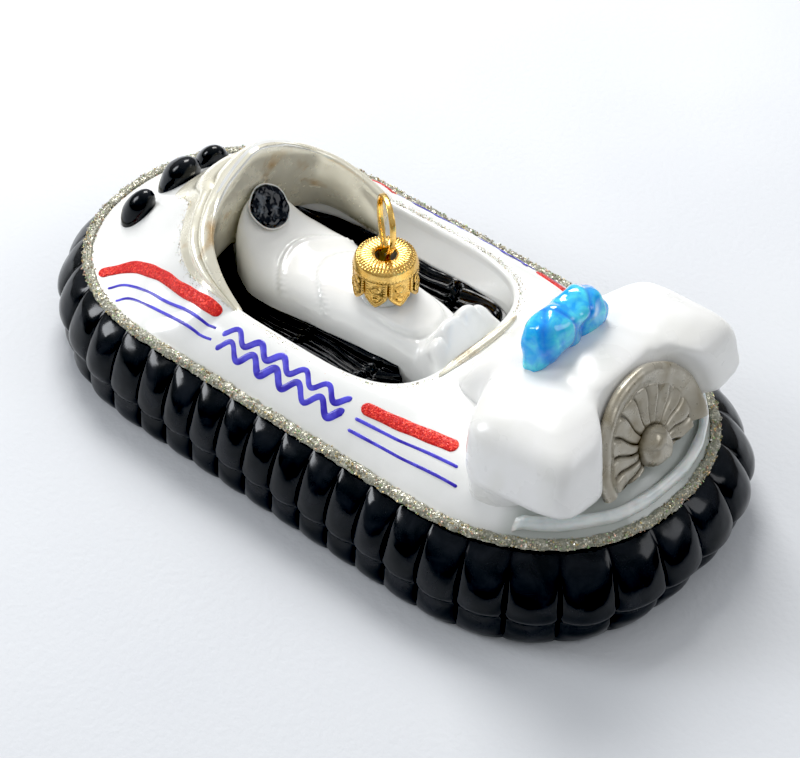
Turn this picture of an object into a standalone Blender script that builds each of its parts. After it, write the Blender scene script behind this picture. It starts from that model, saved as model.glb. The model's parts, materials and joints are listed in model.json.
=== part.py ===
"""Blown-glass tree ornament in the form of a small open hovercraft, with its metal cap and hanger loop.

The glass body is one moulding, modelled as the pieces its paint and relief divide it into.
The gold cap lifts off the glass neck, and the wire loop turns in the hole of the cap.
Frame: +X to the bow, +Y to port, +Z up. The origin is on the floor under the middle of the skirt.
Sizes are in millimetres, and MM turns them into the metres of the scene.
"""

import math

import bmesh
import bpy
import numpy as np
from mathutils import Vector
from mathutils.bvhtree import BVHTree

MM = 0.001
GAP = 0.3  # between pieces that touch
SMOOTH_ANGLE = math.radians(50)  # edges sharper than this stay crisp

# Deck edge, the oval where the white deck meets the black skirt
DECK_HALF_LENGTH = 57.2
DECK_HALF_WIDTH = 27.1
DECK_END_DEPTH = 30.0
DECK_END_POWER = 2.2
DECK_EDGE_Z = 16.7
OVAL_SAMPLES = 4000  # for measuring along the oval

# Skirt
LOBES = 46
LOBE_STEPS = 5
GROOVE_POWER = 0.7  # below 1 the lobes are round and the grooves between them sharp
LOBE_END_STRETCH = 0.2  # how much wider the lobes are at the bow and stern
SKIRT_END_REACH = 0.1  # how much further the skirt stands out at the bow and stern
SKIRT_QUARTER_REACH = 0.4  # the same at the two rounded corners of the stern
SKIRT_WALL_INSET = 5.0  # inner wall of the ring, inside the deck edge
SKIRT_TOP_Z = 15.9
# columns: stand-out from the deck edge, height, depth of the groove between lobes, and how much
# the row is drawn in at the bow and stern
SKIRT_PROFILE = (
    (0.0, 15.9, 0.0, 0.0),
    (1.8, 15.6, 0.4, 0.0),
    (3.7, 14.0, 0.9, 0.0),
    (5.4, 11.8, 1.3, 0.0),
    (6.6, 9.4, 1.5, 0.0),
    (7.0, 7.0, 1.4, 0.2),
    (6.1, 5.4, 1.2, 0.8),
    (6.3, 3.2, 1.1, 1.2),
    (6.0, 1.4, 0.9, 1.7),
    (5.1, 0.0, 0.5, 1.6),
)
UNDERSIDE_Z = (1.2, 7.7)
UNDERSIDE_CHAMFER = 1.0
UNDERSIDE_AROUND = 60
SEAT_SHARES = (0.04, 0.35, 0.65, 0.85, 1.0)  # rings under a foot that follows a surface
SEAT_CLEARANCE = 0.38

# Hull
HULL_BOTTOM_Z = 8.0
HULL_AROUND = 84
WELL_CENTRE_X = 5.5
WELL_HALF_LENGTH = 23.5
WELL_HALF_WIDTH = 19.0
WELL_POWER = 3.6
WELL_FLOOR_Z = 12.0
COAMING_Z = 23.5
COWL_RISE = 15.1  # how far the rim stands above the coaming at the bow
COWL_RISE_POWER = 1.15
COWL_CREST = 0.08  # angle over which the top of the rise is rounded
BOW_HOLLOW = (1.7, 1.25)  # power of the slope up to the rim, on the bow's quarters and ahead
BOW_BLEND_RISE = 6.0  # rise of the rim over which the side's bulge turns into the hollow
STERN_FULL = (0.75, 0.2)  # cosine of the angle from astern where the level stern starts, and its blend
STERN_POWER = 5
BOW_FULL_ANGLE = math.radians(24)
BOW_FULL_BLEND = math.radians(12)
DECK_SHARES = (0.0, 0.1, 0.22, 0.36, 0.5, 0.66, 0.83, 1.0)
RIM_SHARES = (0.25, 0.5, 0.75, 1.0)
# rows: inset from the rim, drop below it
RIM_LIP = ((0.5, 0.3), (0.8, 1.3))
WALL_FOOT = (1.1, 20.2)  # inset and height where the inner wall meets the footwells
FLOOR_INSET = 1.7
SIDE_SLOPE = (2.6, 1.8)  # how much further in and lower the wall's foot lies at the sides
SIDE_SINE = (0.5, 0.35)  # sine of the angle where that begins, and its blend
FRONT_UNDERCUT = 3.0  # how far the wall leans forward under the rim at the bow
UNDERCUT_COS = 0.7  # cosine of the angle from the bow where it begins
LIP_UNDERCUT = 0.2  # share of it at the lip

# Silver cowl round the front of the cockpit, with a tongue down the bow
COWL_HALF_ANGLE = math.radians(60)
COWL_WIDTH = 0.30  # share of the slope
COWL_EDGE = 0.15  # thickness of its thin edges
COWL_SEAM = (0.012, 0.02)  # shares of the slope that hull and cowl keep clear of their seam
COWL_SIDE_CLEARANCE = 0.015  # share of the angle
COWL_LEAST_WIDTH = 0.06
TONGUE_HALF_ANGLE = math.radians(17)
TONGUE_BLEND = math.radians(9)
TONGUE_WIDTH = 0.50

# Knobs on the bow: x, y, radius
KNOBS = {
    "bow_knob_port": (48.6, 9.0, 3.2),
    "bow_knob_centre": (47.5, 0.0, 3.8),
    "bow_knob_starboard": (48.6, -9.0, 3.2),
}
KNOB_HEIGHT = 1.25  # of the radius
KNOB_AROUND = 20
KNOB_SWINGS = [math.radians(15 * step) for step in range(1, 6)]  # rings up the dome

# Console and seat: x, half-width, ridge height
CONSOLE = (
    (29.9, 3.6, 26.4),
    (29.2, 5.4, 29.2),
    (28.2, 6.4, 29.5),
    (26.4, 7.4, 26.8),
    (24.4, 8.5, 24.9),
    (21.8, 9.5, 23.6),
    (18.0, 9.6, 23.3),
    (12.0, 8.7, 23.9),
    (6.0, 7.9, 24.2),
    (0.0, 7.3, 24.4),
    (-5.0, 6.8, 24.2),
    (-8.0, 6.5, 23.4),
    (-10.2, 6.3, 22.8),
    (-12.0, 6.4, 25.2),
    (-13.2, 6.7, 27.4),
    (-14.4, 7.2, 28.1),
    (-15.5, 7.8, 26.6),
)
CONSOLE_SIDE_Z = 18.0  # straight sides up to here
CONSOLE_POWER = 2.6
CONSOLE_STEPS = 16
GAUGE_PROFILE = ((3.5, 0.0), (3.5, 0.54), (3.15, 0.81), (1.75, 0.9))  # rows: radius, height
GAUGE_AROUND = 24
GAUGE_CENTRE = (26.5, 0.0, 27.9)
GAUGE_LEAN = math.radians(47)  # from straight up, towards the stern

# Footwells beside the console
FOOTWELL_ANGLES = (math.radians(32), math.radians(152))
FOOTWELL_COLUMNS = 15
FOOTWELL_REACH = 30.0  # longer than any ray across the well
FOOTWELL_CLEARANCE = 0.5  # from the console
# rows: share from the outer wall to the console, height
FOOTWELL_PROFILE = ((0.0, 18.0), (0.18, 17.0), (0.4, 15.6), (0.7, 15.2), (0.88, 16.0), (1.0, 17.6))

# Silver strip behind the seat
STRIP_X = -18.1
STRIP_SIZE = (1.2, 18.6, 0.5)

# Stern fairing that carries the fan, and the two side arms, by height.
# rows: height, front x, half-width in front, half-width at the fan
FAIRING_LEVELS = (
    (23.9, -19.6, 9.6, 13.6),
    (26.0, -21.6, 9.4, 13.3),
    (28.5, -23.8, 9.0, 12.7),
    (31.0, -26.2, 8.4, 11.8),
    (33.4, -29.0, 7.6, 10.4),
    (35.0, -31.6, 6.2, 8.8),
    (35.9, -34.6, 4.4, 6.8),
)
FAIRING_POWER = 7.0
FAIRING_FOOT_Z = 21.0  # height of its aft foot, on the stern deck
# rows: height, front x, front outer corner, aft outer corner, aft inner x
ARM_LEVELS = (
    (23.4, -27.0, (-35.0, 24.0), (-41.0, 22.8), -50.0),
    (24.8, -27.0, (-34.8, 25.0), (-52.2, 23.2), -53.6),
    (28.5, -27.4, (-34.0, 24.2), (-52.2, 23.3), -53.2),
    (31.6, -28.4, (-33.2, 22.8), (-51.6, 22.8), -52.0),
    (33.8, -33.8, (-34.6, 20.6), (-50.0, 21.2), -50.2),
    (35.2, -38.2, (-38.6, 17.6), (-46.6, 18.0), -47.2),
)
ARM_POWER = 5.0
LEVEL_STEPS = 32

# Light bar: distance along the bar, half-depth, height
LIGHT_CENTRE_X = -34.2
LIGHT_HALF = (
    (0.0, 2.8, 5.8),
    (1.2, 2.9, 6.0),
    (2.6, 3.2, 6.7),
    (4.3, 3.3, 6.9),
    (6.1, 3.1, 6.3),
    (7.6, 2.4, 4.8),
    (8.5, 1.2, 2.7),
)
LIGHT_STEPS = 14

# Fan, on a plane that leans forward
FAN_TILT = math.radians(24)
FAN_CENTRE = (-51.2, 0.0, 23.2)
FAN_RING_RADII = (10.1, 12.9)
FAN_RING_HEIGHT = 2.2
FAN_RING_STEPS = 32
FAN_RING_SIDES = 10
FAN_RING_SPAN = math.radians(7)  # below the level of the hub on each side
FAN_BLADES = 18
FAN_BLADE_STEPS = 4
FAN_BLADE_RADII = (3.5, 9.8)
FAN_BLADE_HEIGHTS = (0.6, 1.5)
FAN_BLADE_PROFILE = ((0.0, 0.0), (0.2, 1.0), (0.8, 0.8), (1.0, 0.0))  # share of length, of rise
FAN_BLADE_SPAN = math.radians(30)
FAN_HUB = ((3.2, 0.0), (3.2, 1.4), (2.5, 2.2), (1.3, 2.7))  # rows: radius, height
FAN_HUB_AROUND = 24
FAN_CUT = 2.2  # the stern deck hides the fan this far below the hub

# Rail round the stern deck, and the glitter bead along the deck edge
RAIL_START_X = -43.5
RAIL_INSET = (2.0, 0.7)
RAIL_TOP_Z = 20.2
RAIL_DROPS = (0.6, 0.0, 0.0, 0.6)  # from its inner edge to its outer one
BEAD_PROFILE = ((0.35, 16.2), (1.5, 16.2), (1.5, 16.6), (1.15, 17.1), (0.7, 17.1), (0.35, 16.9))

# Neck, cap and hanger loop
NECK_X = 1.0
NECK_RADII = (3.3, 4.2)
NECK_TOP_Z = 31.0
NECK_ROUND = 0.25
NECK_AROUND = 24
CAP_RADIUS = 5.25
CAP_WALL = 0.45
CAP_TOP_Z = 32.0
CAP_TIP_Z = 25.0
CAP_NOTCH = 1.9
CAP_PRONGS = 8
CAP_PRONG_STEPS = 6
CAP_SKIRT_Z = 27.3  # top of the prongs
CAP_DOME = ((0.62, 0.15), (0.86, -0.1), (0.97, -0.6), (1.0, -1.3))  # rows: share of radius, height
CAP_HOLE_RADIUS = 2.0
LOOP_WIRE_RADIUS = 0.4
LOOP_WIRE_SIDES = 6
LOOP_STEPS = 3  # between two points of its path
LOOP_TURN = math.radians(145)  # direction of the loop's plane, from the bow
# half of the wire's path: distance from the axis, height
LOOP_PATH = (
    (2.6, 27.6),
    (2.7, 30.2),
    (2.3, 30.8),
    (1.25, 31.3),
    (1.2, 32.6),
    (2.4, 34.2),
    (3.7, 36.4),
    (4.1, 38.6),
    (3.6, 40.6),
    (2.2, 42.1),
)
LOOP_TOP_Z = 42.6

# Origins of the moving pieces, on the axis of the neck
ORIGINS = {"cap": (NECK_X, 0.0, CAP_TOP_Z), "hanger_loop": (NECK_X, 0.0, CAP_TOP_Z)}

# Materials: colour, roughness, metallic
PAINTS = {
    "white_lacquer": ((0.86, 0.87, 0.87), 0.12, 0.0),
    "black_lacquer": ((0.012, 0.013, 0.016), 0.08, 0.0),
    "silver_glass": ((0.66, 0.64, 0.55), 0.12, 1.0),
    "blue_lacquer": ((0.05, 0.42, 0.95), 0.1, 0.0),
    "glitter": ((0.75, 0.66, 0.45), 0.35, 0.6),
    "gold_metal": ((0.85, 0.58, 0.22), 0.22, 1.0),
    "clear_glass": ((0.8, 0.82, 0.8), 0.05, 0.0),
}


def paint(name, finish):
    """A Principled material for one object, in one finish."""
    colour, roughness, metallic = PAINTS[finish]
    material = bpy.data.materials.new(name + "_" + finish)
    material.use_nodes = True
    shader = material.node_tree.nodes["Principled BSDF"]
    shader.inputs["Base Color"].default_value = (*colour, 1.0)
    shader.inputs["Roughness"].default_value = roughness
    shader.inputs["Metallic"].default_value = metallic
    return material


def add_object(name, points, faces, finish):
    """A mesh object from points in millimetres, with its faces turned outwards. A moving piece has
    its origin on its joint's axis."""
    origin = np.array(ORIGINS.get(name, (0.0, 0.0, 0.0)))
    mesh = bpy.data.meshes.new(name)
    mesh.from_pydata((MM * (np.array(points, float) - origin)).tolist(), [], faces)
    tidy = bmesh.new()
    tidy.from_mesh(mesh)
    bmesh.ops.recalc_face_normals(tidy, faces=tidy.faces)
    tidy.to_mesh(mesh)
    tidy.free()
    mesh.shade_smooth()
    mesh.set_sharp_from_angle(angle=SMOOTH_ANGLE)
    mesh.materials.append(paint(name, finish))
    thing = bpy.data.objects.new(name, mesh)
    thing.location = MM * Vector(origin)
    bpy.context.scene.collection.objects.link(thing)
    return thing


def rows_solid(name, rows, finish, joined=False):
    """A closed solid from rings of points. The first and last ring are joined to each other, or
    each is filled with a fan about its middle."""
    rows = [np.asarray(row, float) for row in rows]
    count = len(rows[0])
    points = np.vstack(rows).tolist()
    starts = [count * j for j in range(len(rows))]
    faces = []
    for low, high in zip(starts, starts[1:] + starts[:1] if joined else starts[1:]):
        for i in range(count):
            k = (i + 1) % count
            faces.append((low + i, low + k, high + k, high + i))
    if not joined:
        for row, start in ((rows[0], starts[0]), (rows[-1], starts[-1])):
            faces += [(start + i, start + (i + 1) % count, len(points)) for i in range(count)]
            points.append(row.mean(0).tolist())
    return add_object(name, points, faces, finish)


def patch_solid(name, top, bottom, finish):
    """A closed solid between two grids of points of one shape, with walls along their four edges."""
    top = np.asarray(top, float)
    bottom = np.asarray(bottom, float)
    n, m = top.shape[:2]
    points = np.vstack([top.reshape(-1, 3), bottom.reshape(-1, 3)]).tolist()
    under = n * m
    faces = []
    for i in range(n - 1):
        for j in range(m - 1):
            a, b, c, d = i * m + j, (i + 1) * m + j, (i + 1) * m + j + 1, i * m + j + 1
            faces.append((a, b, c, d))
            faces.append((under + d, under + c, under + b, under + a))
    edge = [i * m for i in range(n)] + [(n - 1) * m + j for j in range(1, m)]
    edge += [i * m + m - 1 for i in range(n - 2, -1, -1)] + list(range(m - 2, 0, -1))
    for a, b in zip(edge, edge[1:] + edge[:1]):
        faces.append((a, b, under + b, under + a))
    return add_object(name, points, faces, finish)


def deck_oval(count, stretch=0.0):
    """Points and outward normals of the deck edge, from the bow round by port. Spacing grows by
    stretch where the edge runs across the hull."""
    t = np.linspace(0, 2 * np.pi, OVAL_SAMPLES, endpoint=False)
    cos, sin = np.cos(t), np.sin(t)
    power = 2.0 / DECK_END_POWER
    straight = DECK_HALF_LENGTH - DECK_END_DEPTH
    x = np.sign(cos) * (np.abs(cos) ** power * DECK_END_DEPTH + straight)
    y = np.sign(sin) * np.abs(sin) ** power * DECK_HALF_WIDTH
    loop = np.column_stack([np.append(x, x[0]), np.append(y, y[0])])
    step = np.diff(loop, axis=0)
    length = np.hypot(step[:, 0], step[:, 1])
    across = np.abs(step[:, 1]) / np.maximum(length, 1e-9)
    travelled = np.append(0.0, np.cumsum(length * (1.0 - stretch * across)))
    wanted = np.linspace(0, travelled[-1], count, endpoint=False)
    points = np.column_stack([np.interp(wanted, travelled, loop[:, k]) for k in (0, 1)])
    ahead, behind = np.roll(points, -1, 0), np.roll(points, 1, 0)
    tangent = ahead - behind
    tangent /= np.hypot(tangent[:, 0], tangent[:, 1])[:, None]
    return points, np.column_stack([tangent[:, 1], -tangent[:, 0]])


def ring_at(points, normals, offset, height):
    """The deck edge moved out by offset, at one height."""
    plan = points + normals * np.reshape(offset, (-1, 1))
    return np.column_stack([plan, np.full(len(plan), height)])


def make_skirt():
    """The black ring of inflated lobes that the ornament stands on."""
    points, normals = deck_oval(LOBES * LOBE_STEPS, LOBE_END_STRETCH)
    phase = (np.arange(len(points)) % LOBE_STEPS) / LOBE_STEPS
    pinch = 1.0 - np.sin(np.pi * phase) ** GROOVE_POWER
    end = normals[:, 0] ** 2
    quarter = np.clip(-normals[:, 0], 0, 1) * np.abs(normals[:, 1])
    reach = 1.0 + SKIRT_END_REACH * end + SKIRT_QUARTER_REACH * quarter
    rows = [ring_at(points, normals, -SKIRT_WALL_INSET, SKIRT_TOP_Z)]
    for out, height, groove, tuck in SKIRT_PROFILE:
        rows.append(ring_at(points, normals, out * reach - tuck * end - groove * pinch, height))
    rows.append(ring_at(points, normals, -SKIRT_WALL_INSET, 0.0))
    rows_solid("skirt", rows, "black_lacquer", joined=True)


def make_underside():
    """The closed bottom inside the skirt, just clear of the floor."""
    points, normals = deck_oval(UNDERSIDE_AROUND)
    inset = -SKIRT_WALL_INSET - GAP
    low, high = UNDERSIDE_Z
    rows = [
        ring_at(points, normals, inset - UNDERSIDE_CHAMFER, low),
        ring_at(points, normals, inset, low + UNDERSIDE_CHAMFER),
        ring_at(points, normals, inset, high),
    ]
    rows_solid("underside", rows, "black_lacquer")


def ease(x):
    """Smooth step from 0 to 1."""
    x = np.clip(x, 0, 1)
    return x * x * (3 - 2 * x)


def well_rim(angle):
    """Distance from the well's centre to its rim, a superellipse."""
    cos, sin = np.abs(np.cos(angle)), np.abs(np.sin(angle))
    inverse = (cos / WELL_HALF_LENGTH) ** WELL_POWER + (sin / WELL_HALF_WIDTH) ** WELL_POWER
    return inverse ** (-1.0 / WELL_POWER)


def rim_height(angle):
    """Height of the cockpit rim: level along the sides, sweeping up at the bow."""
    swing = np.hypot(np.clip(angle, -COWL_HALF_ANGLE, COWL_HALF_ANGLE), COWL_CREST) - COWL_CREST
    swing = swing / (math.hypot(COWL_HALF_ANGLE, COWL_CREST) - COWL_CREST)
    return COAMING_Z + COWL_RISE * (1 - swing**COWL_RISE_POWER)


def hull_rays():
    """Angles and lengths of the rays from the well's centre to the deck edge, one for each column
    of the hull's mesh."""
    points, _ = deck_oval(HULL_AROUND)
    shifted = points - np.array([WELL_CENTRE_X, 0.0])
    return np.arctan2(shifted[:, 1], shifted[:, 0]), np.hypot(shifted[:, 0], shifted[:, 1])


def skin_point(angle, edge, share):
    """Radius and height of the outer skin on a ray: share 0 is the deck edge and 1 the rim. The
    skin bulges at the sides, hollows up to the bow, and runs level behind the cockpit."""
    rise = rim_height(angle) - DECK_EDGE_Z
    bow = ease((rise - (COAMING_Z - DECK_EDGE_Z)) / BOW_BLEND_RISE)
    stern = ease((-np.cos(angle) - STERN_FULL[0]) / STERN_FULL[1])
    ahead = ease((BOW_FULL_ANGLE - np.abs(angle)) / BOW_FULL_BLEND)
    hollow = BOW_HOLLOW[0] + (BOW_HOLLOW[1] - BOW_HOLLOW[0]) * ahead
    slope = np.sin(share * np.pi / 2) * (1 - bow) * (1 - stern)
    slope = slope + share**hollow * bow + (1 - (1 - share) ** STERN_POWER) * stern
    return edge + (well_rim(angle) - edge) * share, DECK_EDGE_Z + rise * slope


def cowl_start(angle):
    """Share of the slope at which the silver cowl begins."""
    swing = np.clip(1 - (angle / COWL_HALF_ANGLE) ** 2, 0, 1)
    width = np.maximum(COWL_WIDTH * np.sqrt(swing), COWL_LEAST_WIDTH)
    tongue = ease((TONGUE_HALF_ANGLE - np.abs(angle)) / TONGUE_BLEND)
    return 1.0 - width - (TONGUE_WIDTH - COWL_WIDTH) * tongue


def undercut(angle):
    """How far the well's wall stands forward of the rim on each ray."""
    return FRONT_UNDERCUT * ease((np.cos(angle) - UNDERCUT_COS) / (1 - UNDERCUT_COS))


def side_share(angle):
    """1 at the sides of the well, where its wall slopes inwards, and 0 at its ends."""
    return ease((np.abs(np.sin(angle)) - SIDE_SINE[0]) / SIDE_SINE[1])


def wall_section(angle, edge):
    """The rim, its lip and the inner wall of the well on each ray, as rows of radius and height."""
    rim, top = well_rim(angle), rim_height(angle)
    forward = undercut(angle)
    start = cowl_start(angle)
    rows = [skin_point(angle, edge, start + (1 - start) * share) for share in RIM_SHARES]
    rows += [(rim - inset + LIP_UNDERCUT * forward, top - drop) for inset, drop in RIM_LIP]
    inward, lower = (amount * side_share(angle) for amount in SIDE_SLOPE)
    rows.append((rim - WALL_FOOT[0] - inward + forward, WALL_FOOT[1] - lower))
    return rows, rim - FLOOR_INSET - inward + forward


def on_rays(angle, radius, height):
    """Points at one radius and height on each ray."""
    x, y = WELL_CENTRE_X + radius * np.cos(angle), radius * np.sin(angle)
    return np.column_stack([x, y, height + 0 * radius])


def make_hull():
    """The white deck and topsides with the cockpit well, cut back where the silver cowl lies."""
    points, normals = deck_oval(HULL_AROUND)
    angle, edge = hull_rays()
    inset = -SKIRT_WALL_INSET - GAP
    rows = [ring_at(points, normals, inset, HULL_BOTTOM_Z)]
    rows.append(ring_at(points, normals, inset, SKIRT_TOP_Z + GAP))
    rows.append(ring_at(points, normals, -GAP, SKIRT_TOP_Z + GAP))
    start = cowl_start(angle) - COWL_SEAM[0]
    skin = [skin_point(angle, edge, start * f) for f in DECK_SHARES]
    wall, floor = wall_section(angle, edge)
    cut = np.abs(angle) < COWL_HALF_ANGLE
    top, foot = skin[-1], wall[-1]
    foot = (foot[0], foot[1] - np.where(cut, 2 * GAP, 0.0))
    # Under the cowl the rows lie on a straight cut from the seam down to the wall's foot
    for k, (radius, height) in enumerate(wall[:-1]):
        share = (k + 1) / len(wall)
        seam = [a + (b - a) * share for a, b in zip(top, foot)]
        wall[k] = (np.where(cut, seam[0], radius), np.where(cut, seam[1], height))
    wall[-1] = foot
    rows += [on_rays(angle, *section) for section in skin + wall]
    rows.append(on_rays(angle, floor, WELL_FLOOR_Z))
    return rows_solid("hull", rows, "white_lacquer")


def make_cowl():
    """The silver collar that forms the rim of the cockpit's front, down to the footwells."""
    angle, edge = hull_rays()
    order = np.argsort(angle)
    order = order[np.abs(angle[order]) < COWL_HALF_ANGLE]
    angle, edge = angle[order], edge[order]
    angle[[0, -1]] *= 1 - COWL_SIDE_CLEARANCE
    first = skin_point(angle, edge, cowl_start(angle) + COWL_SEAM[1])
    wall, _ = wall_section(angle, edge)
    outer = np.array([on_rays(angle, *section) for section in [first] + wall])
    top = outer[0] - (0, 0, COWL_EDGE)
    foot = on_rays(angle, wall[-1][0] + COWL_EDGE, wall[-1][1])
    share = np.linspace(0, 1, len(outer))[:, None, None]
    patch_solid("cowl", outer, top + (foot - top) * share, "silver_glass")


def surface_of(thing):
    """A function that gives the height of an object's upper surface at a point, in millimetres."""
    tree = BVHTree.FromObject(thing, bpy.context.evaluated_depsgraph_get())

    def height(x, y, missing=0.0):
        hit = tree.ray_cast(Vector((MM * x, MM * y, 0.1)), Vector((0, 0, -1)))[0]
        return hit.z / MM if hit else missing

    return height


def seat(ring, surface):
    """Rings that follow a surface from the middle of a foot out to its edge."""
    middle = ring.mean(0)
    rows = []
    for share in SEAT_SHARES:
        plan = middle + (ring - middle) * share
        rows.append([(x, y, surface(x, y) + SEAT_CLEARANCE) for x, y in plan])
    return rows


def make_knobs(deck):
    """Three round knobs across the bow."""
    turn = np.arange(KNOB_AROUND) * 2 * np.pi / KNOB_AROUND
    circle = np.column_stack([np.cos(turn), np.sin(turn)])
    for name, (x, y, radius) in KNOBS.items():
        rows = seat((x, y) + radius * circle, deck)
        for swing in KNOB_SWINGS:
            lift = radius * KNOB_HEIGHT * math.sin(swing) + GAP
            plan = (x, y) + radius * math.cos(swing) * circle
            rows.append([(px, py, deck(px, py) + lift) for px, py in plan])
        rows_solid(name, rows, "black_lacquer")


def make_console():
    """The central pod: rounded front with the gauge, seat, and the seat's back."""
    rows = []
    for x, half, top in CONSOLE:
        ring = [(x, -half, WELL_FLOOR_Z + GAP), (x, half, WELL_FLOOR_Z + GAP)]
        for k in range(CONSOLE_STEPS + 1):
            a = math.pi * k / CONSOLE_STEPS
            cos, sin = math.cos(a), math.sin(a)
            y = half * math.copysign(abs(cos) ** (2 / CONSOLE_POWER), cos)
            z = CONSOLE_SIDE_Z + (top - CONSOLE_SIDE_Z) * abs(sin) ** (2 / CONSOLE_POWER)
            ring.append((x, y, z))
        rows.append(ring)
    return rows_solid("console", rows, "white_lacquer")


def make_gauge():
    """The round black gauge on the front of the console, facing aft and up."""
    across = np.array([0.0, 1.0, 0.0])
    up = np.array([math.cos(GAUGE_LEAN), 0.0, math.sin(GAUGE_LEAN)])
    out = np.cross(up, across)
    turn = np.arange(GAUGE_AROUND) * 2 * np.pi / GAUGE_AROUND
    circle = np.outer(np.cos(turn), across) + np.outer(np.sin(turn), up)
    rows = [GAUGE_CENTRE + radius * circle + lift * out for radius, lift in GAUGE_PROFILE]
    rows_solid("gauge", rows, "black_lacquer")


def console_half_width(x):
    """Half-width of the console at its foot."""
    stations = sorted(CONSOLE)
    return np.interp(x, [s[0] for s in stations], [s[1] for s in stations], left=0, right=0)


def make_footwells():
    """The black floor on each side of the console."""
    angle = np.linspace(*FOOTWELL_ANGLES, FOOTWELL_COLUMNS)
    outer = well_rim(angle) - FLOOR_INSET - SIDE_SLOPE[0] * side_share(angle) + undercut(angle) - GAP
    reach = np.linspace(0, FOOTWELL_REACH, 1500)
    inner = []
    for a in angle:
        inside = reach * math.sin(a) < console_half_width(WELL_CENTRE_X + reach * math.cos(a))
        inner.append(reach[inside].max() + FOOTWELL_CLEARANCE)
    inner = np.array(inner)
    top = np.array([on_rays(angle, outer + (inner - outer) * part, z) for part, z in FOOTWELL_PROFILE])
    bottom = top.copy()
    bottom[:, :, 2] = WELL_FLOOR_Z + GAP
    for name, side in (("footwell_port", 1), ("footwell_starboard", -1)):
        mirror = np.array([1, side, 1])
        patch_solid(name, top * mirror, bottom * mirror, "black_lacquer")


def make_strip(deck):
    """The thin silver strip along the rear edge of the cockpit."""
    long, wide, high = STRIP_SIZE
    base = max(deck(STRIP_X, y) for y in np.linspace(-wide / 2, wide / 2, 9)) + GAP
    aft, fore, side = STRIP_X - long / 2, STRIP_X + long / 2, wide / 2
    corners = ((aft, -side), (fore, -side), (fore, side), (aft, side))
    rows = [[(x, y, z) for x, y in corners] for z in (base, base + high)]
    rows_solid("rear_strip", rows, "silver_glass")


def quad_ring(corners, power):
    """A rounded four-cornered ring in plan, from its corners in turn."""
    a, b, c, d = [np.array(p, float) for p in corners]
    ring = []
    for k in range(LEVEL_STEPS):
        t = 2 * math.pi * k / LEVEL_STEPS
        cos, sin = math.cos(t), math.sin(t)
        scale = (abs(cos) ** power + abs(sin) ** power) ** (-1 / power)
        u, v = 0.5 + 0.5 * cos * scale, 0.5 + 0.5 * sin * scale
        ring.append(a * (1 - u) * (1 - v) + b * u * (1 - v) + c * u * v + d * (1 - u) * v)
    return np.array(ring)


def fan_plane_x(z):
    """Where the fan's plane lies at one height."""
    return FAN_CENTRE[0] + (z - FAN_CENTRE[2]) * math.tan(FAN_TILT)


def fairing_side(level, x):
    """Half-width of the stern fairing at one level and station."""
    z, front, wide_front, wide_back = level
    share = (x - front) / (fan_plane_x(z) - front)
    return wide_front + (wide_back - wide_front) * share


def seated(ring, z, deck):
    """A ring of plan points at one height, lifted where the deck is higher."""
    return [(x, y, max(z, deck(x, y) + 2 * GAP)) for x, y in ring]


def make_fairing(deck):
    """The hump behind the cockpit, whose aft face carries the fan."""
    rows = []
    for z, front, wide_front, wide_back in FAIRING_LEVELS:
        back = fan_plane_x(z if rows else FAIRING_FOOT_Z)
        corners = [(back, -wide_back), (front, -wide_front), (front, wide_front), (back, wide_back)]
        ring = quad_ring(corners, FAIRING_POWER)
        rows += [seated(ring, z, deck)] if rows else seat(ring, deck)
    return rows_solid("stern_fairing", rows, "white_lacquer")


def make_arms(deck):
    """The two rounded arms beside the fan, which overhang the stern deck."""
    for name, side in (("arm_port", 1), ("arm_starboard", -1)):
        rows = []
        for z, front, outer_front, outer_back, back in ARM_LEVELS:
            lower = [level for level in FAIRING_LEVELS if level[0] <= z] or FAIRING_LEVELS[:1]
            inner = [(x, fairing_side(lower[-1], x) + 1.5 * GAP) for x in (back, front)]
            ring = quad_ring([*inner, outer_front, outer_back], ARM_POWER) * np.array([1, side])
            rows += [seated(ring, z, deck)] if rows else seat(ring, deck) + [seated(ring, z, deck)]
        rows_solid(name, rows, "white_lacquer")


def make_light(hump):
    """The blue two-lobed light on top of the fairing."""
    stations = [(-y, depth, height) for y, depth, height in LIGHT_HALF[:0:-1]] + list(LIGHT_HALF)
    rows = []
    for y, depth, height in stations:
        ring = []
        for k in range(LIGHT_STEPS):
            a = 2 * math.pi * k / LIGHT_STEPS
            x = LIGHT_CENTRE_X + depth * math.cos(a)
            base = hump(x, y) + GAP
            ring.append((x, y, base + height * (0.5 + 0.5 * math.sin(a))))
        rows.append(ring)
    rows_solid("light_bar", rows, "blue_lacquer")


def fan_point(radius, angle, lift):
    """A point over the fan's plane, kept above the stern deck."""
    down = -radius * math.sin(angle)
    if down > FAN_CUT:
        radius *= FAN_CUT / down
    across, up = radius * math.cos(angle), radius * math.sin(angle)
    x = FAN_CENTRE[0] + up * math.sin(FAN_TILT) - lift * math.cos(FAN_TILT)
    z = FAN_CENTRE[2] + up * math.cos(FAN_TILT) + lift * math.sin(FAN_TILT)
    return (x, across, z)


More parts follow.
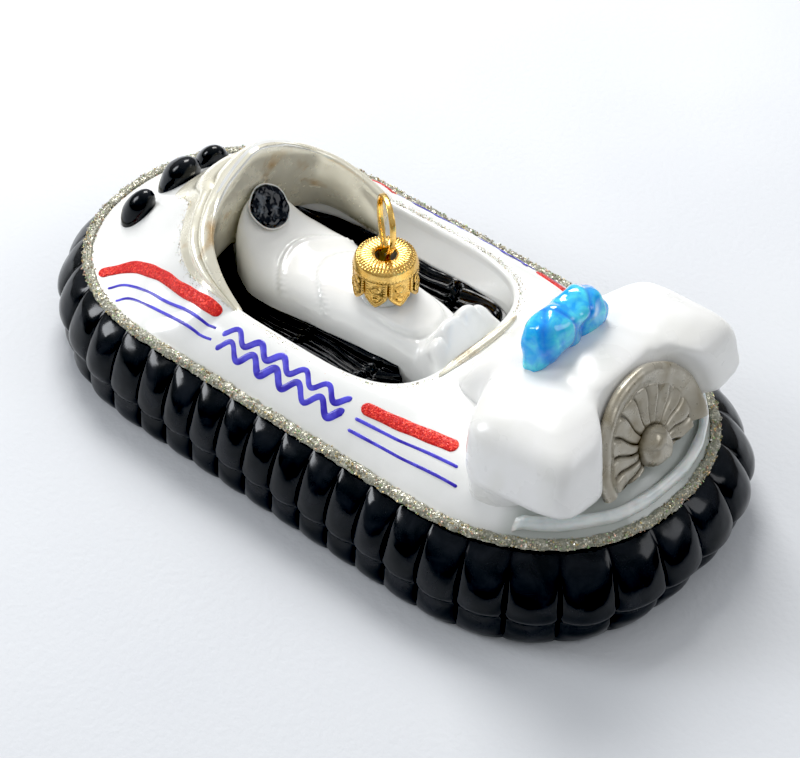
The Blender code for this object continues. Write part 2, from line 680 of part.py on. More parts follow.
def make_fan():
    """The moulded fan: lip ring, blades and hub on the leaning face of the fairing."""
    inner, outer = FAN_RING_RADII
    middle, half = (inner + outer) / 2, (outer - inner) / 2
    rows = []
    for angle in np.linspace(-FAN_RING_SPAN, math.pi + FAN_RING_SPAN, FAN_RING_STEPS + 1):
        ring = []
        for k in range(FAN_RING_SIDES):
            a = 2 * math.pi * k / FAN_RING_SIDES
            lift = GAP + FAN_RING_HEIGHT * (0.5 + 0.5 * math.sin(a))
            ring.append(fan_point(middle + half * math.cos(a), angle, lift))
        rows.append(ring)
    rows_solid("fan_ring", rows, "silver_glass")

    # The blades are one moulding, a fan of rounded ridges
    inner, outer = FAN_BLADE_RADII
    low, high = FAN_BLADE_HEIGHTS
    top, bottom = [], []
    first, last = -FAN_BLADE_SPAN, math.pi + FAN_BLADE_SPAN
    count = round((last - first) / (2 * math.pi) * FAN_BLADES * FAN_BLADE_STEPS)
    for angle in np.linspace(first, last, count + 1):
        down = -math.sin(angle)
        edge = min(outer, FAN_CUT / down) if down > 0 else outer
        wave = 0.5 + 0.5 * math.cos(FAN_BLADES * angle)
        radii = [inner + (edge - inner) * share for share, _ in FAN_BLADE_PROFILE]
        heights = [low + (high - low) * wave * rise for _, rise in FAN_BLADE_PROFILE]
        top.append([fan_point(r, angle, h) for r, h in zip(radii, heights)])
        bottom.append([fan_point(r, angle, GAP) for r in radii])
    patch_solid("fan_blades", top, bottom, "silver_glass")

    turn = np.arange(FAN_HUB_AROUND) * 2 * np.pi / FAN_HUB_AROUND
    rows = [[fan_point(radius, a, GAP + lift) for a in turn] for radius, lift in FAN_HUB]
    rows_solid("fan_hub", rows, "silver_glass")


def make_rail(deck):
    """The low rail round the edge of the stern deck."""
    points, normals = deck_oval(HULL_AROUND)
    stern = points[:, 0] < RAIL_START_X
    points, normals = points[stern], normals[stern]
    offsets = -np.linspace(*RAIL_INSET, len(RAIL_DROPS))
    top = [ring_at(points, normals, x, RAIL_TOP_Z - drop) for x, drop in zip(offsets, RAIL_DROPS)]
    bottom = [[(x, y, deck(x, y) + GAP) for x, y, _ in row] for row in top]
    patch_solid("stern_rail", top, bottom, "clear_glass")


def make_bead():
    """The glitter bead along the seam between deck and skirt."""
    points, normals = deck_oval(HULL_AROUND)
    rows = [ring_at(points, normals, offset, z) for offset, z in BEAD_PROFILE]
    rows_solid("deck_bead", rows, "glitter", joined=True)


def circle_row(radius, height, count):
    """A ring round the neck's axis."""
    turn = np.arange(count) * 2 * np.pi / count
    heights = np.full(count, height) if np.isscalar(height) else height
    return np.column_stack([NECK_X + radius * np.cos(turn), radius * np.sin(turn), heights])


def make_neck(console):
    """The open glass neck that the cap sits over, its foot on the console."""
    inner, outer = NECK_RADII
    rows = [
        circle_row(outer, 0.0, NECK_AROUND),
        circle_row(outer, NECK_TOP_Z - NECK_ROUND, NECK_AROUND),
        circle_row(outer - NECK_ROUND, NECK_TOP_Z, NECK_AROUND),
        circle_row(inner, NECK_TOP_Z, NECK_AROUND),
        circle_row(inner, 0.0, NECK_AROUND),
    ]
    for foot in (rows[0], rows[-1]):
        foot[:, 2] = [console(x, y) + GAP for x, y, _ in foot]
    rows_solid("neck", rows, "clear_glass", joined=True)


def make_cap():
    """The gold cap with pointed prongs and a round hole for the loop."""
    count = CAP_PRONGS * CAP_PRONG_STEPS
    phase = (np.arange(count) % CAP_PRONG_STEPS) / CAP_PRONG_STEPS
    tips = CAP_TIP_Z + CAP_NOTCH * np.abs(2 * phase - 1) ** 1.5
    inner = CAP_RADIUS - CAP_WALL
    below = CAP_TOP_Z - CAP_WALL
    rows = [
        circle_row(CAP_HOLE_RADIUS, below, count),
        circle_row(CAP_HOLE_RADIUS, CAP_TOP_Z, count),
        *[circle_row(CAP_RADIUS * share, CAP_TOP_Z + lift, count) for share, lift in CAP_DOME],
        circle_row(CAP_RADIUS, CAP_SKIRT_Z, count),
        circle_row(CAP_RADIUS, tips, count),
        circle_row(inner, tips, count),
        circle_row(inner, CAP_SKIRT_Z, count),
        circle_row(inner, below - CAP_WALL, count),
        circle_row(inner - CAP_WALL, below, count),
    ]
    rows_solid("cap", rows, "gold_metal", joined=True)


def smooth_path(points, steps):
    """Points of a Catmull-Rom curve through the given ones."""
    p = np.vstack([2 * points[0] - points[1], points, 2 * points[-1] - points[-2]])
    path = []
    for k in range(1, len(p) - 2):
        for t in np.arange(steps) / steps:
            a = 2 * p[k] + (p[k + 1] - p[k - 1]) * t
            b = (2 * p[k - 1] - 5 * p[k] + 4 * p[k + 1] - p[k + 2]) * t**2
            c = (3 * p[k] - p[k - 1] - 3 * p[k + 1] + p[k + 2]) * t**3
            path.append((a + b + c) / 2)
    return np.array(path + [p[-2]])


def make_loop():
    """The wire loop: two sprung legs below the cap's hole and a round eye above it."""
    half = np.array(LOOP_PATH)
    whole = np.vstack([half, [(0.0, LOOP_TOP_Z)], half[::-1] * (-1, 1)])
    path = smooth_path(whole, LOOP_STEPS)
    along = np.gradient(path, axis=0)
    along /= np.hypot(along[:, 0], along[:, 1])[:, None]
    heading = np.array([math.cos(LOOP_TURN), math.sin(LOOP_TURN), 0.0])
    aside = np.array([-heading[1], heading[0], 0.0])
    rows = []
    for (reach, z), (t_reach, t_z) in zip(path, along):
        spot = np.array([NECK_X, 0, z]) + heading * reach
        normal = heading * -t_z + np.array([0, 0, t_reach])
        ring = []
        for k in range(LOOP_WIRE_SIDES):
            a = 2 * math.pi * k / LOOP_WIRE_SIDES
            ring.append(spot + LOOP_WIRE_RADIUS * (normal * math.cos(a) + aside * math.sin(a)))
        rows.append(ring)
    rows_solid("hanger_loop", rows, "gold_metal")


def main():
    for thing in list(bpy.data.objects):
        bpy.data.objects.remove(thing)
    make_skirt()
    make_underside()
    hull = make_hull()
    make_cowl()
    deck = surface_of(hull)
    make_knobs(deck)
    console = make_console()
    make_gauge()
    make_footwells()
    make_strip(deck)
    fairing = make_fairing(deck)
    make_arms(deck)
    make_light(surface_of(fairing))
    make_fan()
    make_rail(deck)
    make_bead()
    make_neck(surface_of(console))
    make_cap()
    make_loop()


main()
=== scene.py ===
"""Looks of a blown-glass hanging ornament in the form of a small open hovercraft.

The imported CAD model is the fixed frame. Each class below works out the visible surface of one
group of pieces around it and dresses it. Shapes are in millimetres, with +X to the bow, +Y to
port and +Z up, and MM turns them into the metres of the scene.
"""

from __future__ import annotations

import json
import logging
import math
from dataclasses import dataclass, field
from enum import Enum
from typing import Sequence

import bmesh
import bpy
import numpy as np
from mathutils import Matrix, Vector

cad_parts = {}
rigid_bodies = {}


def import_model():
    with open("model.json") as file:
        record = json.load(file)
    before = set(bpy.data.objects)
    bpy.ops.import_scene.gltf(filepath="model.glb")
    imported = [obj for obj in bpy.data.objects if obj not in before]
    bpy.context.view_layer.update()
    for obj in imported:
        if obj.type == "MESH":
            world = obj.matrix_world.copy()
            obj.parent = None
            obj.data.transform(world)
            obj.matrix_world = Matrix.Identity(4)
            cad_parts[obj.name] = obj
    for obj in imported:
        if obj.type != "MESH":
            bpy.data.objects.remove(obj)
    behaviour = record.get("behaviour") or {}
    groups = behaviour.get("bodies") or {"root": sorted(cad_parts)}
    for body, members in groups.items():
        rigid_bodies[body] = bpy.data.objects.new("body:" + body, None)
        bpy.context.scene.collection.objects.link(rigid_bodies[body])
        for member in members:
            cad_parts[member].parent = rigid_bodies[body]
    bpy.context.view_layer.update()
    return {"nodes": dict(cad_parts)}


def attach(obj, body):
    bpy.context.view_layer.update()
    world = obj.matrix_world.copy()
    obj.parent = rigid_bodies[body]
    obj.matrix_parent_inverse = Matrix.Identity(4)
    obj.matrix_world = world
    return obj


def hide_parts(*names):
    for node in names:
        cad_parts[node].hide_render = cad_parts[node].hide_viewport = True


LOG = logging.getLogger("ornament")
MM = 0.001
WELD = 1e-6
Array = np.ndarray
Colour = tuple[float, float, float]


class Body(Enum):
    """The bodies that pieces ride on."""

    GLASS = "root"
    CAP = "cap"
    LOOP = "loop"


class Side(Enum):
    """The two sides of the craft, by the sign of Y."""

    PORT = 1
    STARBOARD = -1


def ease(x: Array | float) -> Array:
    """Smooth step from 0 to 1."""
    x = np.clip(x, 0, 1)
    return x * x * (3 - 2 * x)


def bell(x: Array | float) -> Array:
    """A bump of height 1 at 0 that has faded at 2."""
    return np.exp(-np.square(x) * 2)


def ripple(points: Array, size: float, seed: int) -> Array:
    """Smooth noise, the sum of sine waves of one length in random directions.

    Args:
        points: Places in millimetres, with the coordinates last.
        size: Length of the waves.
        seed: Start of the random directions.

    Returns:
        A value between about -1 and 1 for each place.
    """
    draw = np.random.default_rng(seed)
    heading = draw.normal(size=(9, 3))
    heading *= 2 * np.pi / size / np.linalg.norm(heading, axis=1, keepdims=True)
    phase = draw.uniform(0, 2 * np.pi, 9)
    return np.sin(points @ heading.T + phase).sum(-1) / 4.5


def spline(points: Sequence, at: Array) -> Array:
    """A Catmull-Rom curve through points.

    Args:
        points: The points in turn, each a row of coordinates.
        at: Places on the curve, counted in points.

    Returns:
        One row for each place.
    """
    p = np.asarray(points, float)
    p = np.vstack([2 * p[0] - p[1], p, 2 * p[-1] - p[-2]])
    k = np.clip(np.floor(at).astype(int), 0, len(p) - 4)
    t = (at - k)[:, None]
    a, b, c, d = p[k], p[k + 1], p[k + 2], p[k + 3]
    bend = (2 * a - 5 * b + 4 * c - d) * t**2 + (3 * b - a - 3 * c + d) * t**3
    return (2 * b + (c - a) * t + bend) / 2


def resample(points: Sequence, count: int) -> Array:
    """Count rows, evenly counted along the Catmull-Rom curve through points."""
    return spline(points, np.linspace(0, len(points) - 1, count))


def lift(
    points: Array,
    amount: Array | float,
    wrap: tuple[bool, bool] = (False, False),
    out: Array | tuple = (0.0, 0.0, 1.0),
) -> Array:
    """Moves the points of a grid along its normal, the cross product of its two slopes.

    Args:
        points: The grid, rows by columns by three.
        amount: How far, for each point or for all.
        wrap: Whether the rows and the columns close on themselves.
        out: Roughly the direction that counts as outwards.

    Returns:
        The moved grid.
    """
    slopes = []
    for axis in (0, 1):
        if wrap[axis]:
            slopes.append(np.roll(points, -1, axis) - np.roll(points, 1, axis))
        else:
            slopes.append(np.gradient(points, axis=axis))
    normal = np.cross(*slopes)
    normal /= np.maximum(np.linalg.norm(normal, axis=-1, keepdims=True), 1e-9)
    if (normal * out).sum() < 0:
        normal = -normal
    return points + normal * np.broadcast_to(amount, points.shape[:2])[..., None]


class Shell:
    """A closed surface, gathered from grids of points that meet where their points coincide."""

    def __init__(self) -> None:
        """Starts with nothing."""
        self.points: list[Array] = []
        self.shades: list[Array] = []
        self.faces: list[Array] = []
        self.total = 0

    def grid(
        self,
        points: Array,
        wrap: tuple[bool, bool] = (False, False),
        shade: Array | float = 0.0,
    ) -> Shell:
        """Adds a grid of four-sided faces.

        Args:
            points: Rows by columns by three.
            wrap: Whether the last row joins the first one, and the last column the first one.
            shade: The value of the attribute "shade" at each point.

        Returns:
            The shell.
        """
        rows, columns = points.shape[:2]
        ids = self.total + np.arange(rows * columns).reshape(rows, columns)
        ids = np.vstack([ids, ids[:1]]) if wrap[0] else ids
        ids = np.hstack([ids, ids[:, :1]]) if wrap[1] else ids
        corners = (ids[:-1, :-1], ids[:-1, 1:], ids[1:, 1:], ids[1:, :-1])
        self.faces.append(np.stack(corners, -1).reshape(-1, 4))
        self.points.append(points.reshape(-1, 3))
        self.shades.append(np.broadcast_to(shade, (rows, columns)).reshape(-1))
        self.total += rows * columns
        return self

    def blister(
        self, base: Array, height: Array | float, depth: float, shade: Array | float = 0.0,
        out: Array | tuple = (0.0, 0.0, 1.0),
    ) -> Shell:
        """Adds a closed leaf on a grid: its top is the grid lifted by height, its bottom is the
        grid lowered by depth, and both meet along the four edges.

        Args:
            base: The grid that the leaf lies on.
            height: Thickness above the grid, away from the edges.
            depth: Thickness below it.
            shade: The value of the attribute "shade" on the top.
            out: Roughly the direction that counts as up.

        Returns:
            The shell.
        """
        rows, columns = base.shape[:2]
        inside = np.zeros((rows, columns))
        inside[1:-1, 1:-1] = 1.0
        self.grid(lift(base, height * inside, out=out), shade=shade)
        return self.grid(lift(base, -depth * inside, out=out))

    def tube(self, rows: Array, shade: Array | float = 0.0) -> Shell:
        """Adds a closed form from rings of points, with both ends drawn to their middle.

        Args:
            rows: The rings, rings by points by three.
            shade: The value of the attribute "shade" at each point.

        Returns:
            The shell.
        """
        ends = [np.repeat(rows[k].mean(0)[None, None], rows.shape[1], 1) for k in (0, -1)]
        if np.ndim(shade) == 2:
            shade = np.vstack([shade[:1], shade, shade[-1:]])
        return self.grid(np.vstack([ends[0], rows, ends[1]]), (False, True), shade)

    def mesh(self, name: str, crease: float = 60.0) -> bpy.types.Mesh:
        """The shell as a smooth mesh, its doubles merged and its faces turned outwards.

        Args:
            name: Name of the mesh.
            crease: Edges that bend by more than this many degrees stay sharp.

        Returns:
            The mesh, in metres.
        """
        mesh = bpy.data.meshes.new(name)
        points = np.vstack(self.points) * MM
        mesh.from_pydata(points.tolist(), [], np.vstack(self.faces).tolist())
        shade = mesh.attributes.new("shade", "FLOAT", "POINT")
        shade.data.foreach_set("value", np.concatenate(self.shades).astype(np.float32))
        work = bmesh.new()
        work.from_mesh(mesh)
        bmesh.ops.remove_doubles(work, verts=work.verts, dist=WELD)
        bmesh.ops.recalc_face_normals(work, faces=work.faces)
        work.to_mesh(mesh)
        work.free()
        mesh.shade_smooth()
        mesh.set_sharp_from_angle(angle=math.radians(crease))
        return mesh


class Sheet:
    """The nodes of one material, with short calls for the few kinds that are used here."""

    def __init__(self, name: str) -> None:
        """Makes the material with its Principled shader.

        Args:
            name: Name of the material.
        """
        self.material = bpy.data.materials.new(name)
        self.material.use_nodes = True
        self.tree = self.material.node_tree
        self.shader = self.tree.nodes["Principled BSDF"]
        self.place = self.tree.nodes.new("ShaderNodeTexCoord").outputs["Object"]

    def put(self, socket: bpy.types.NodeSocket, value: object) -> None:
        """Links a socket to another one, or sets it to a value.

        Args:
            socket: The input to be fed.
            value: An output to link it to, or its new value.
        """
        if isinstance(value, bpy.types.NodeSocket):
            self.tree.links.new(value, socket)
        else:
            socket.default_value = value

    def node(self, kind: str, inputs: dict, **settings: object) -> bpy.types.Node:
        """Adds a node.

        Args:
            kind: The node's type, after "ShaderNode".
            inputs: Values or sockets by the name or the number of the input.
            settings: Other properties of the node.

        Returns:
            The node.
        """
        made = self.tree.nodes.new("ShaderNode" + kind)
        for key, value in settings.items():
            setattr(made, key, value)
        for key, value in inputs.items():
            self.put(made.inputs[key], value)
        return made

    def noise(self, size: float, detail: float = 2.0, twist: float = 0.0) -> bpy.types.NodeSocket:
        """Cloudy noise with spots of about size millimetres."""
        inputs = {"Vector": self.place, "Scale": 1 / (size * MM), "Detail": detail}
        return self.node("TexNoise", {**inputs, "Distortion": twist}).outputs["Fac"]

    def cells(self, size: float, output: str = "Distance") -> bpy.types.NodeSocket:
        """Random cells of about size millimetres."""
        inputs = {"Vector": self.place, "Scale": 1 / (size * MM)}
        return self.node("TexVoronoi", inputs).outputs[output]

    def span(
        self, value: bpy.types.NodeSocket, low: float, high: float, to: tuple[float, float]
    ) -> bpy.types.NodeSocket:
        """Carries the range from low to high over to another one, with its ends held.

        Args:
            value: The number to be carried over.
            low: Where its range starts.
            high: Where its range ends.
            to: Start and end of the new range.

        Returns:
            The new number.
        """
        numbers = {"Value": value, "From Min": low, "From Max": high}
        numbers |= {"To Min": to[0], "To Max": to[1]}
        return self.node("MapRange", numbers, clamp=True).outputs["Result"]

    def sum(self, kind: str, a: object, b: object) -> bpy.types.NodeSocket:
        """Two numbers put together by a Math node."""
        return self.node("Math", {0: a, 1: b}, operation=kind).outputs[0]

    def mix(self, share: object, a: object, b: object) -> bpy.types.NodeSocket:
        """From colour a to colour b by share.

        Args:
            share: The share of b, a value or a socket.
            a: The colour at share 0.
            b: The colour at share 1.

        Returns:
            The mixed colour.
        """
        ends = [(*c, 1.0) if isinstance(c, tuple) else c for c in (a, b)]
        inputs = {0: share, 6: ends[0], 7: ends[1]}
        return self.node("Mix", inputs, data_type="RGBA").outputs[2]

    def bump(
        self, height: bpy.types.NodeSocket, depth: float, under: object = None
    ) -> bpy.types.NodeSocket:
        """A normal that follows height.

        Args:
            height: The relief, from 0 to 1.
            depth: Its depth in millimetres.
            under: The normal that it lies on, where there is one.

        Returns:
            The normal.
        """
        inputs = {"Height": height, "Distance": depth * MM, "Strength": 1.0}
        if under is not None:
            inputs["Normal"] = under
        return self.node("Bump", inputs).outputs["Normal"]

    def attribute(self, name: str, output: str = "Fac") -> bpy.types.NodeSocket:
        """One of the mesh's own attributes."""
        return self.node("Attribute", {}, attribute_name=name).outputs[output]

    def finish(self, **values: object) -> bpy.types.Material:
        """Sets the shader's sockets.

        Args:
            values: Values or sockets by the input's name, with underscores as spaces.

        Returns:
            The material.
        """
        for key, value in values.items():
            self.put(self.shader.inputs[key.replace("_", " ")], value)
        return self.material


@dataclass(frozen=True)
class Glaze:
    """Lacquer or silvering on blown glass.

    The colour drifts between two tones in cloudy spots, goes to the shaded tone where the mesh's
    attribute "shade" says so, and may have dark specks. On most pieces "shade" is painted shade in
    grooves, creases, folds and hollows; on the hull it greys the low stern deck. The surface waves
    softly.
    """

    tone: Colour
    drift: Colour
    drift_size: float
    shaded: Colour
    gloss: tuple[float, float] = (0.06, 0.14)
    metal: float = 0.0
    coat: float = 1.0
    wave: tuple[float, float] = (6.0, 0.12)
    grain: tuple[float, float] = (1.0, 0.01)
    specks: float = 0.0
    speck_tone: Colour = (0.12, 0.11, 0.1)
    glow: float = 0.0
    shine: float = 0.5
    spread: tuple[float, float] = (0.4, 0.68)
    coat_rough: float = 0.03

    def make(self, name: str) -> bpy.types.Material:
        """The finish as a material.

        Args:
            name: Name of the material.

        Returns:
            The material.
        """
        sheet = Sheet(name)
        cloud = sheet.noise(self.drift_size, 4.0, 0.6)
        colour = sheet.mix(sheet.span(cloud, *self.spread, (0, 1)), self.tone, self.drift)
        # The colour goes to the shaded tone where "shade" is set: painted shade on most pieces, the
        # greyed stern deck on the hull.
        colour = sheet.mix(sheet.attribute("shade"), colour, self.shaded)
        if self.specks:
            near = sheet.span(sheet.cells(2.6), 0.045, 0.075, (1, 0))
            chosen = sheet.span(sheet.cells(2.6, "Color"), 1 - self.specks, 1 - self.specks, (0, 1))
            colour = sheet.mix(sheet.sum("MULTIPLY", near, chosen), colour, self.speck_tone)
        rough = sheet.span(sheet.noise(self.wave[0] * 0.7, 3.0), 0.35, 0.65, self.gloss)
        normal = sheet.bump(sheet.noise(self.wave[0], 1.0), self.wave[1])
        normal = sheet.bump(sheet.noise(self.grain[0], 3.0), self.grain[1], normal)
        values = {"Base_Color": colour, "Roughness": rough, "Normal": normal}
        values |= {"Metallic": self.metal, "Coat_Weight": self.coat}
        values["Coat_Roughness"] = self.coat_rough
        values["Specular_IOR_Level"] = self.shine
        if self.glow:
            values |= {"Subsurface_Weight": self.glow, "Subsurface_Radius": (0.3, 0.7, 1.0)}
            values |= {"Subsurface_Scale": 2.5 * MM}
        return sheet.finish(**values)


@dataclass(frozen=True)
class GlitterPaint:
    """Paint full of fine glitter: every flake is a cell with its own tilt; the brightest share of the
    cells goes towards the flash tone, a painted glint.
    """

    tone: Colour
    flash: Colour
    flake: float = 0.28
    share: float = 0.3

    def make(self, name: str) -> bpy.types.Material:
        """The finish as a material.

        Args:
            name: Name of the material.

        Returns:
            The material.
        """
        sheet = Sheet(name)
        inputs = {"Vector": sheet.place, "Scale": 1 / (self.flake * MM)}
        cells = sheet.node("TexVoronoi", inputs)
        split = sheet.node("SeparateColor", {0: cells.outputs["Color"]})
        bright = sheet.span(split.outputs[0], 1 - self.share, 1.0, (0, 1))
        # Painted glint: the brightest share of the cells goes to the flash tone.
        colour = sheet.mix(bright, self.tone, self.flash)
        height = sheet.sum("MULTIPLY", split.outputs[1], cells.outputs["Distance"])
        normal = sheet.bump(height, self.flake * 0.6)
        return sheet.finish(
            Base_Color=colour,
            Metallic=sheet.span(bright, 0.0, 0.5, (0.1, 0.7)),
            Roughness=sheet.span(split.outputs[2], 0.0, 1.0, (0.22, 0.5)),
            Normal=normal,
        )


@dataclass(frozen=True)
class Ink:
    """Thin brushed paint that is darker where the brush was full."""

    full: Colour
    thin: Colour

    def make(self, name: str) -> bpy.types.Material:
        """The finish as a material.

        Args:
            name: Name of the material.

        Returns:
            The material.
        """
        sheet = Sheet(name)
        cover = sheet.span(sheet.noise(2.2, 4.0), 0.38, 0.62, (0, 1))
        return sheet.finish(
            Base_Color=sheet.mix(cover, self.full, self.thin),
            Roughness=sheet.span(cover, 0, 1, (0.3, 0.5)),
            Normal=sheet.bump(sheet.noise(0.5, 3.0), 0.02),
            Coat_Weight=0.3,
        )


@dataclass(frozen=True)
class Flakes:
    """Loose glitter whose grains have their own tint in the attribute "tint"."""

    metal: float = 0.6
    rough: float = 0.22

    def make(self, name: str) -> bpy.types.Material:
        """The finish as a material.

        Args:
            name: Name of the material.

        Returns:
            The material.
        """
        sheet = Sheet(name)
        dirt = sheet.span(sheet.noise(0.6, 2.0), 0.3, 0.7, (0, 1))
        colour = sheet.mix(dirt, sheet.attribute("tint", "Color"), (0.35, 0.3, 0.2))
        return sheet.finish(
            Base_Color=sheet.mix(0.75, colour, sheet.attribute("tint", "Color")),
            Metallic=self.metal,
            Roughness=sheet.span(dirt, 0, 1, (self.rough, self.rough * 2)),
        )


class Palette(Enum):
    """The finishes of the ornament."""

    WHITE = Glaze(
        (0.92, 0.925, 0.91), (0.87, 0.88, 0.86), 9.0, (0.52, 0.55, 0.52),
        specks=0.06, wave=(7.0, 0.08), gloss=(0.1, 0.24), coat=0.4, coat_rough=0.08,
    )
    PEARL = Glaze(
        (0.9, 0.9, 0.89), (0.85, 0.85, 0.82), 11.0, (0.6, 0.61, 0.58),
        specks=0.05, wave=(9.0, 0.07), gloss=(0.24, 0.38), coat=0.35, coat_rough=0.16,
    )
    BLACK = Glaze(
        (0.005, 0.006, 0.007), (0.014, 0.016, 0.02), 5.0, (0.002, 0.002, 0.003),
        wave=(3.5, 0.16), gloss=(0.1, 0.2), specks=0.03, speck_tone=(0.1, 0.08, 0.06),
        coat=0.0, shine=0.34,
    )
    # The drift's blue-grey spots are partly the dial's mottled paint and partly painted reflection.
    DIAL = Glaze(
        (0.006, 0.007, 0.01), (0.07, 0.085, 0.105), 1.5, (0.004, 0.004, 0.005),
        wave=(1.3, 0.16), gloss=(0.06, 0.16), spread=(0.52, 0.7), coat=0.0, shine=0.36,
    )
    SILVER = Glaze(
        (0.93, 0.89, 0.74), (0.62, 0.42, 0.2), 6.0, (0.1, 0.09, 0.045),
        metal=0.4, coat=0.3, wave=(4.5, 0.2), gloss=(0.14, 0.32), spread=(0.58, 0.76),
    )
    FAN = Glaze(
        (0.47, 0.44, 0.37), (0.34, 0.3, 0.22), 4.0, (0.035, 0.032, 0.03),
        metal=0.5, coat=0.25, wave=(2.5, 0.12), gloss=(0.22, 0.42),
    )
    # The drift's cyan spots are partly the glass's own uneven blue and partly painted highlight.
    BLUE = Glaze(
        (0.0, 0.42, 1.0), (0.1, 0.8, 1.0), 2.6, (0.0, 0.2, 0.86),
        wave=(2.5, 0.16), gloss=(0.04, 0.1), glow=0.4,
    )
    FROST = Glaze(
        (0.66, 0.7, 0.69), (0.82, 0.84, 0.82), 4.0, (0.5, 0.54, 0.54),
        wave=(3.0, 0.14), gloss=(0.06, 0.16), glow=0.3,
    )
    GOLD = Glaze(
        (0.94, 0.64, 0.22), (0.84, 0.5, 0.13), 1.6, (0.22, 0.09, 0.02),
        metal=1.0, coat=0.0, wave=(1.1, 0.03), gloss=(0.16, 0.3), grain=(0.25, 0.006),
    )
    GLUE = GlitterPaint((0.3, 0.3, 0.24), (0.75, 0.72, 0.6), 0.26, 0.4)
    RED = GlitterPaint((0.66, 0.012, 0.012), (1.0, 0.12, 0.08), 0.24, 0.4)
    INK = Ink((0.03, 0.014, 0.44), (0.08, 0.07, 0.72))
    FLAKES = Flakes()


def add_piece(
    name: str,
    mesh: bpy.types.Mesh,
    finish: Palette,
    nodes: Sequence[str] = (),
    body: Body = Body.GLASS,
) -> bpy.types.Object:
    """Makes a piece of a mesh, dresses it, and hangs it on the CAD.

    Args:
        name: Name of the piece and of its material.
        mesh: Its shape, in metres.
        finish: Its finish.
        nodes: The CAD nodes that it stands for.
        body: The body that it rides on.

    Returns:
        The object.
    """
    piece = bpy.data.objects.new(name, mesh)
    bpy.context.scene.collection.objects.link(piece)
    mesh.materials.append(finish.value.make(name + "_finish"))
    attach(piece, body.value)
    if nodes:
        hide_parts(*nodes)
    LOG.info("%s: %d faces, %s", name, len(mesh.polygons), finish.name.lower())
    return piece


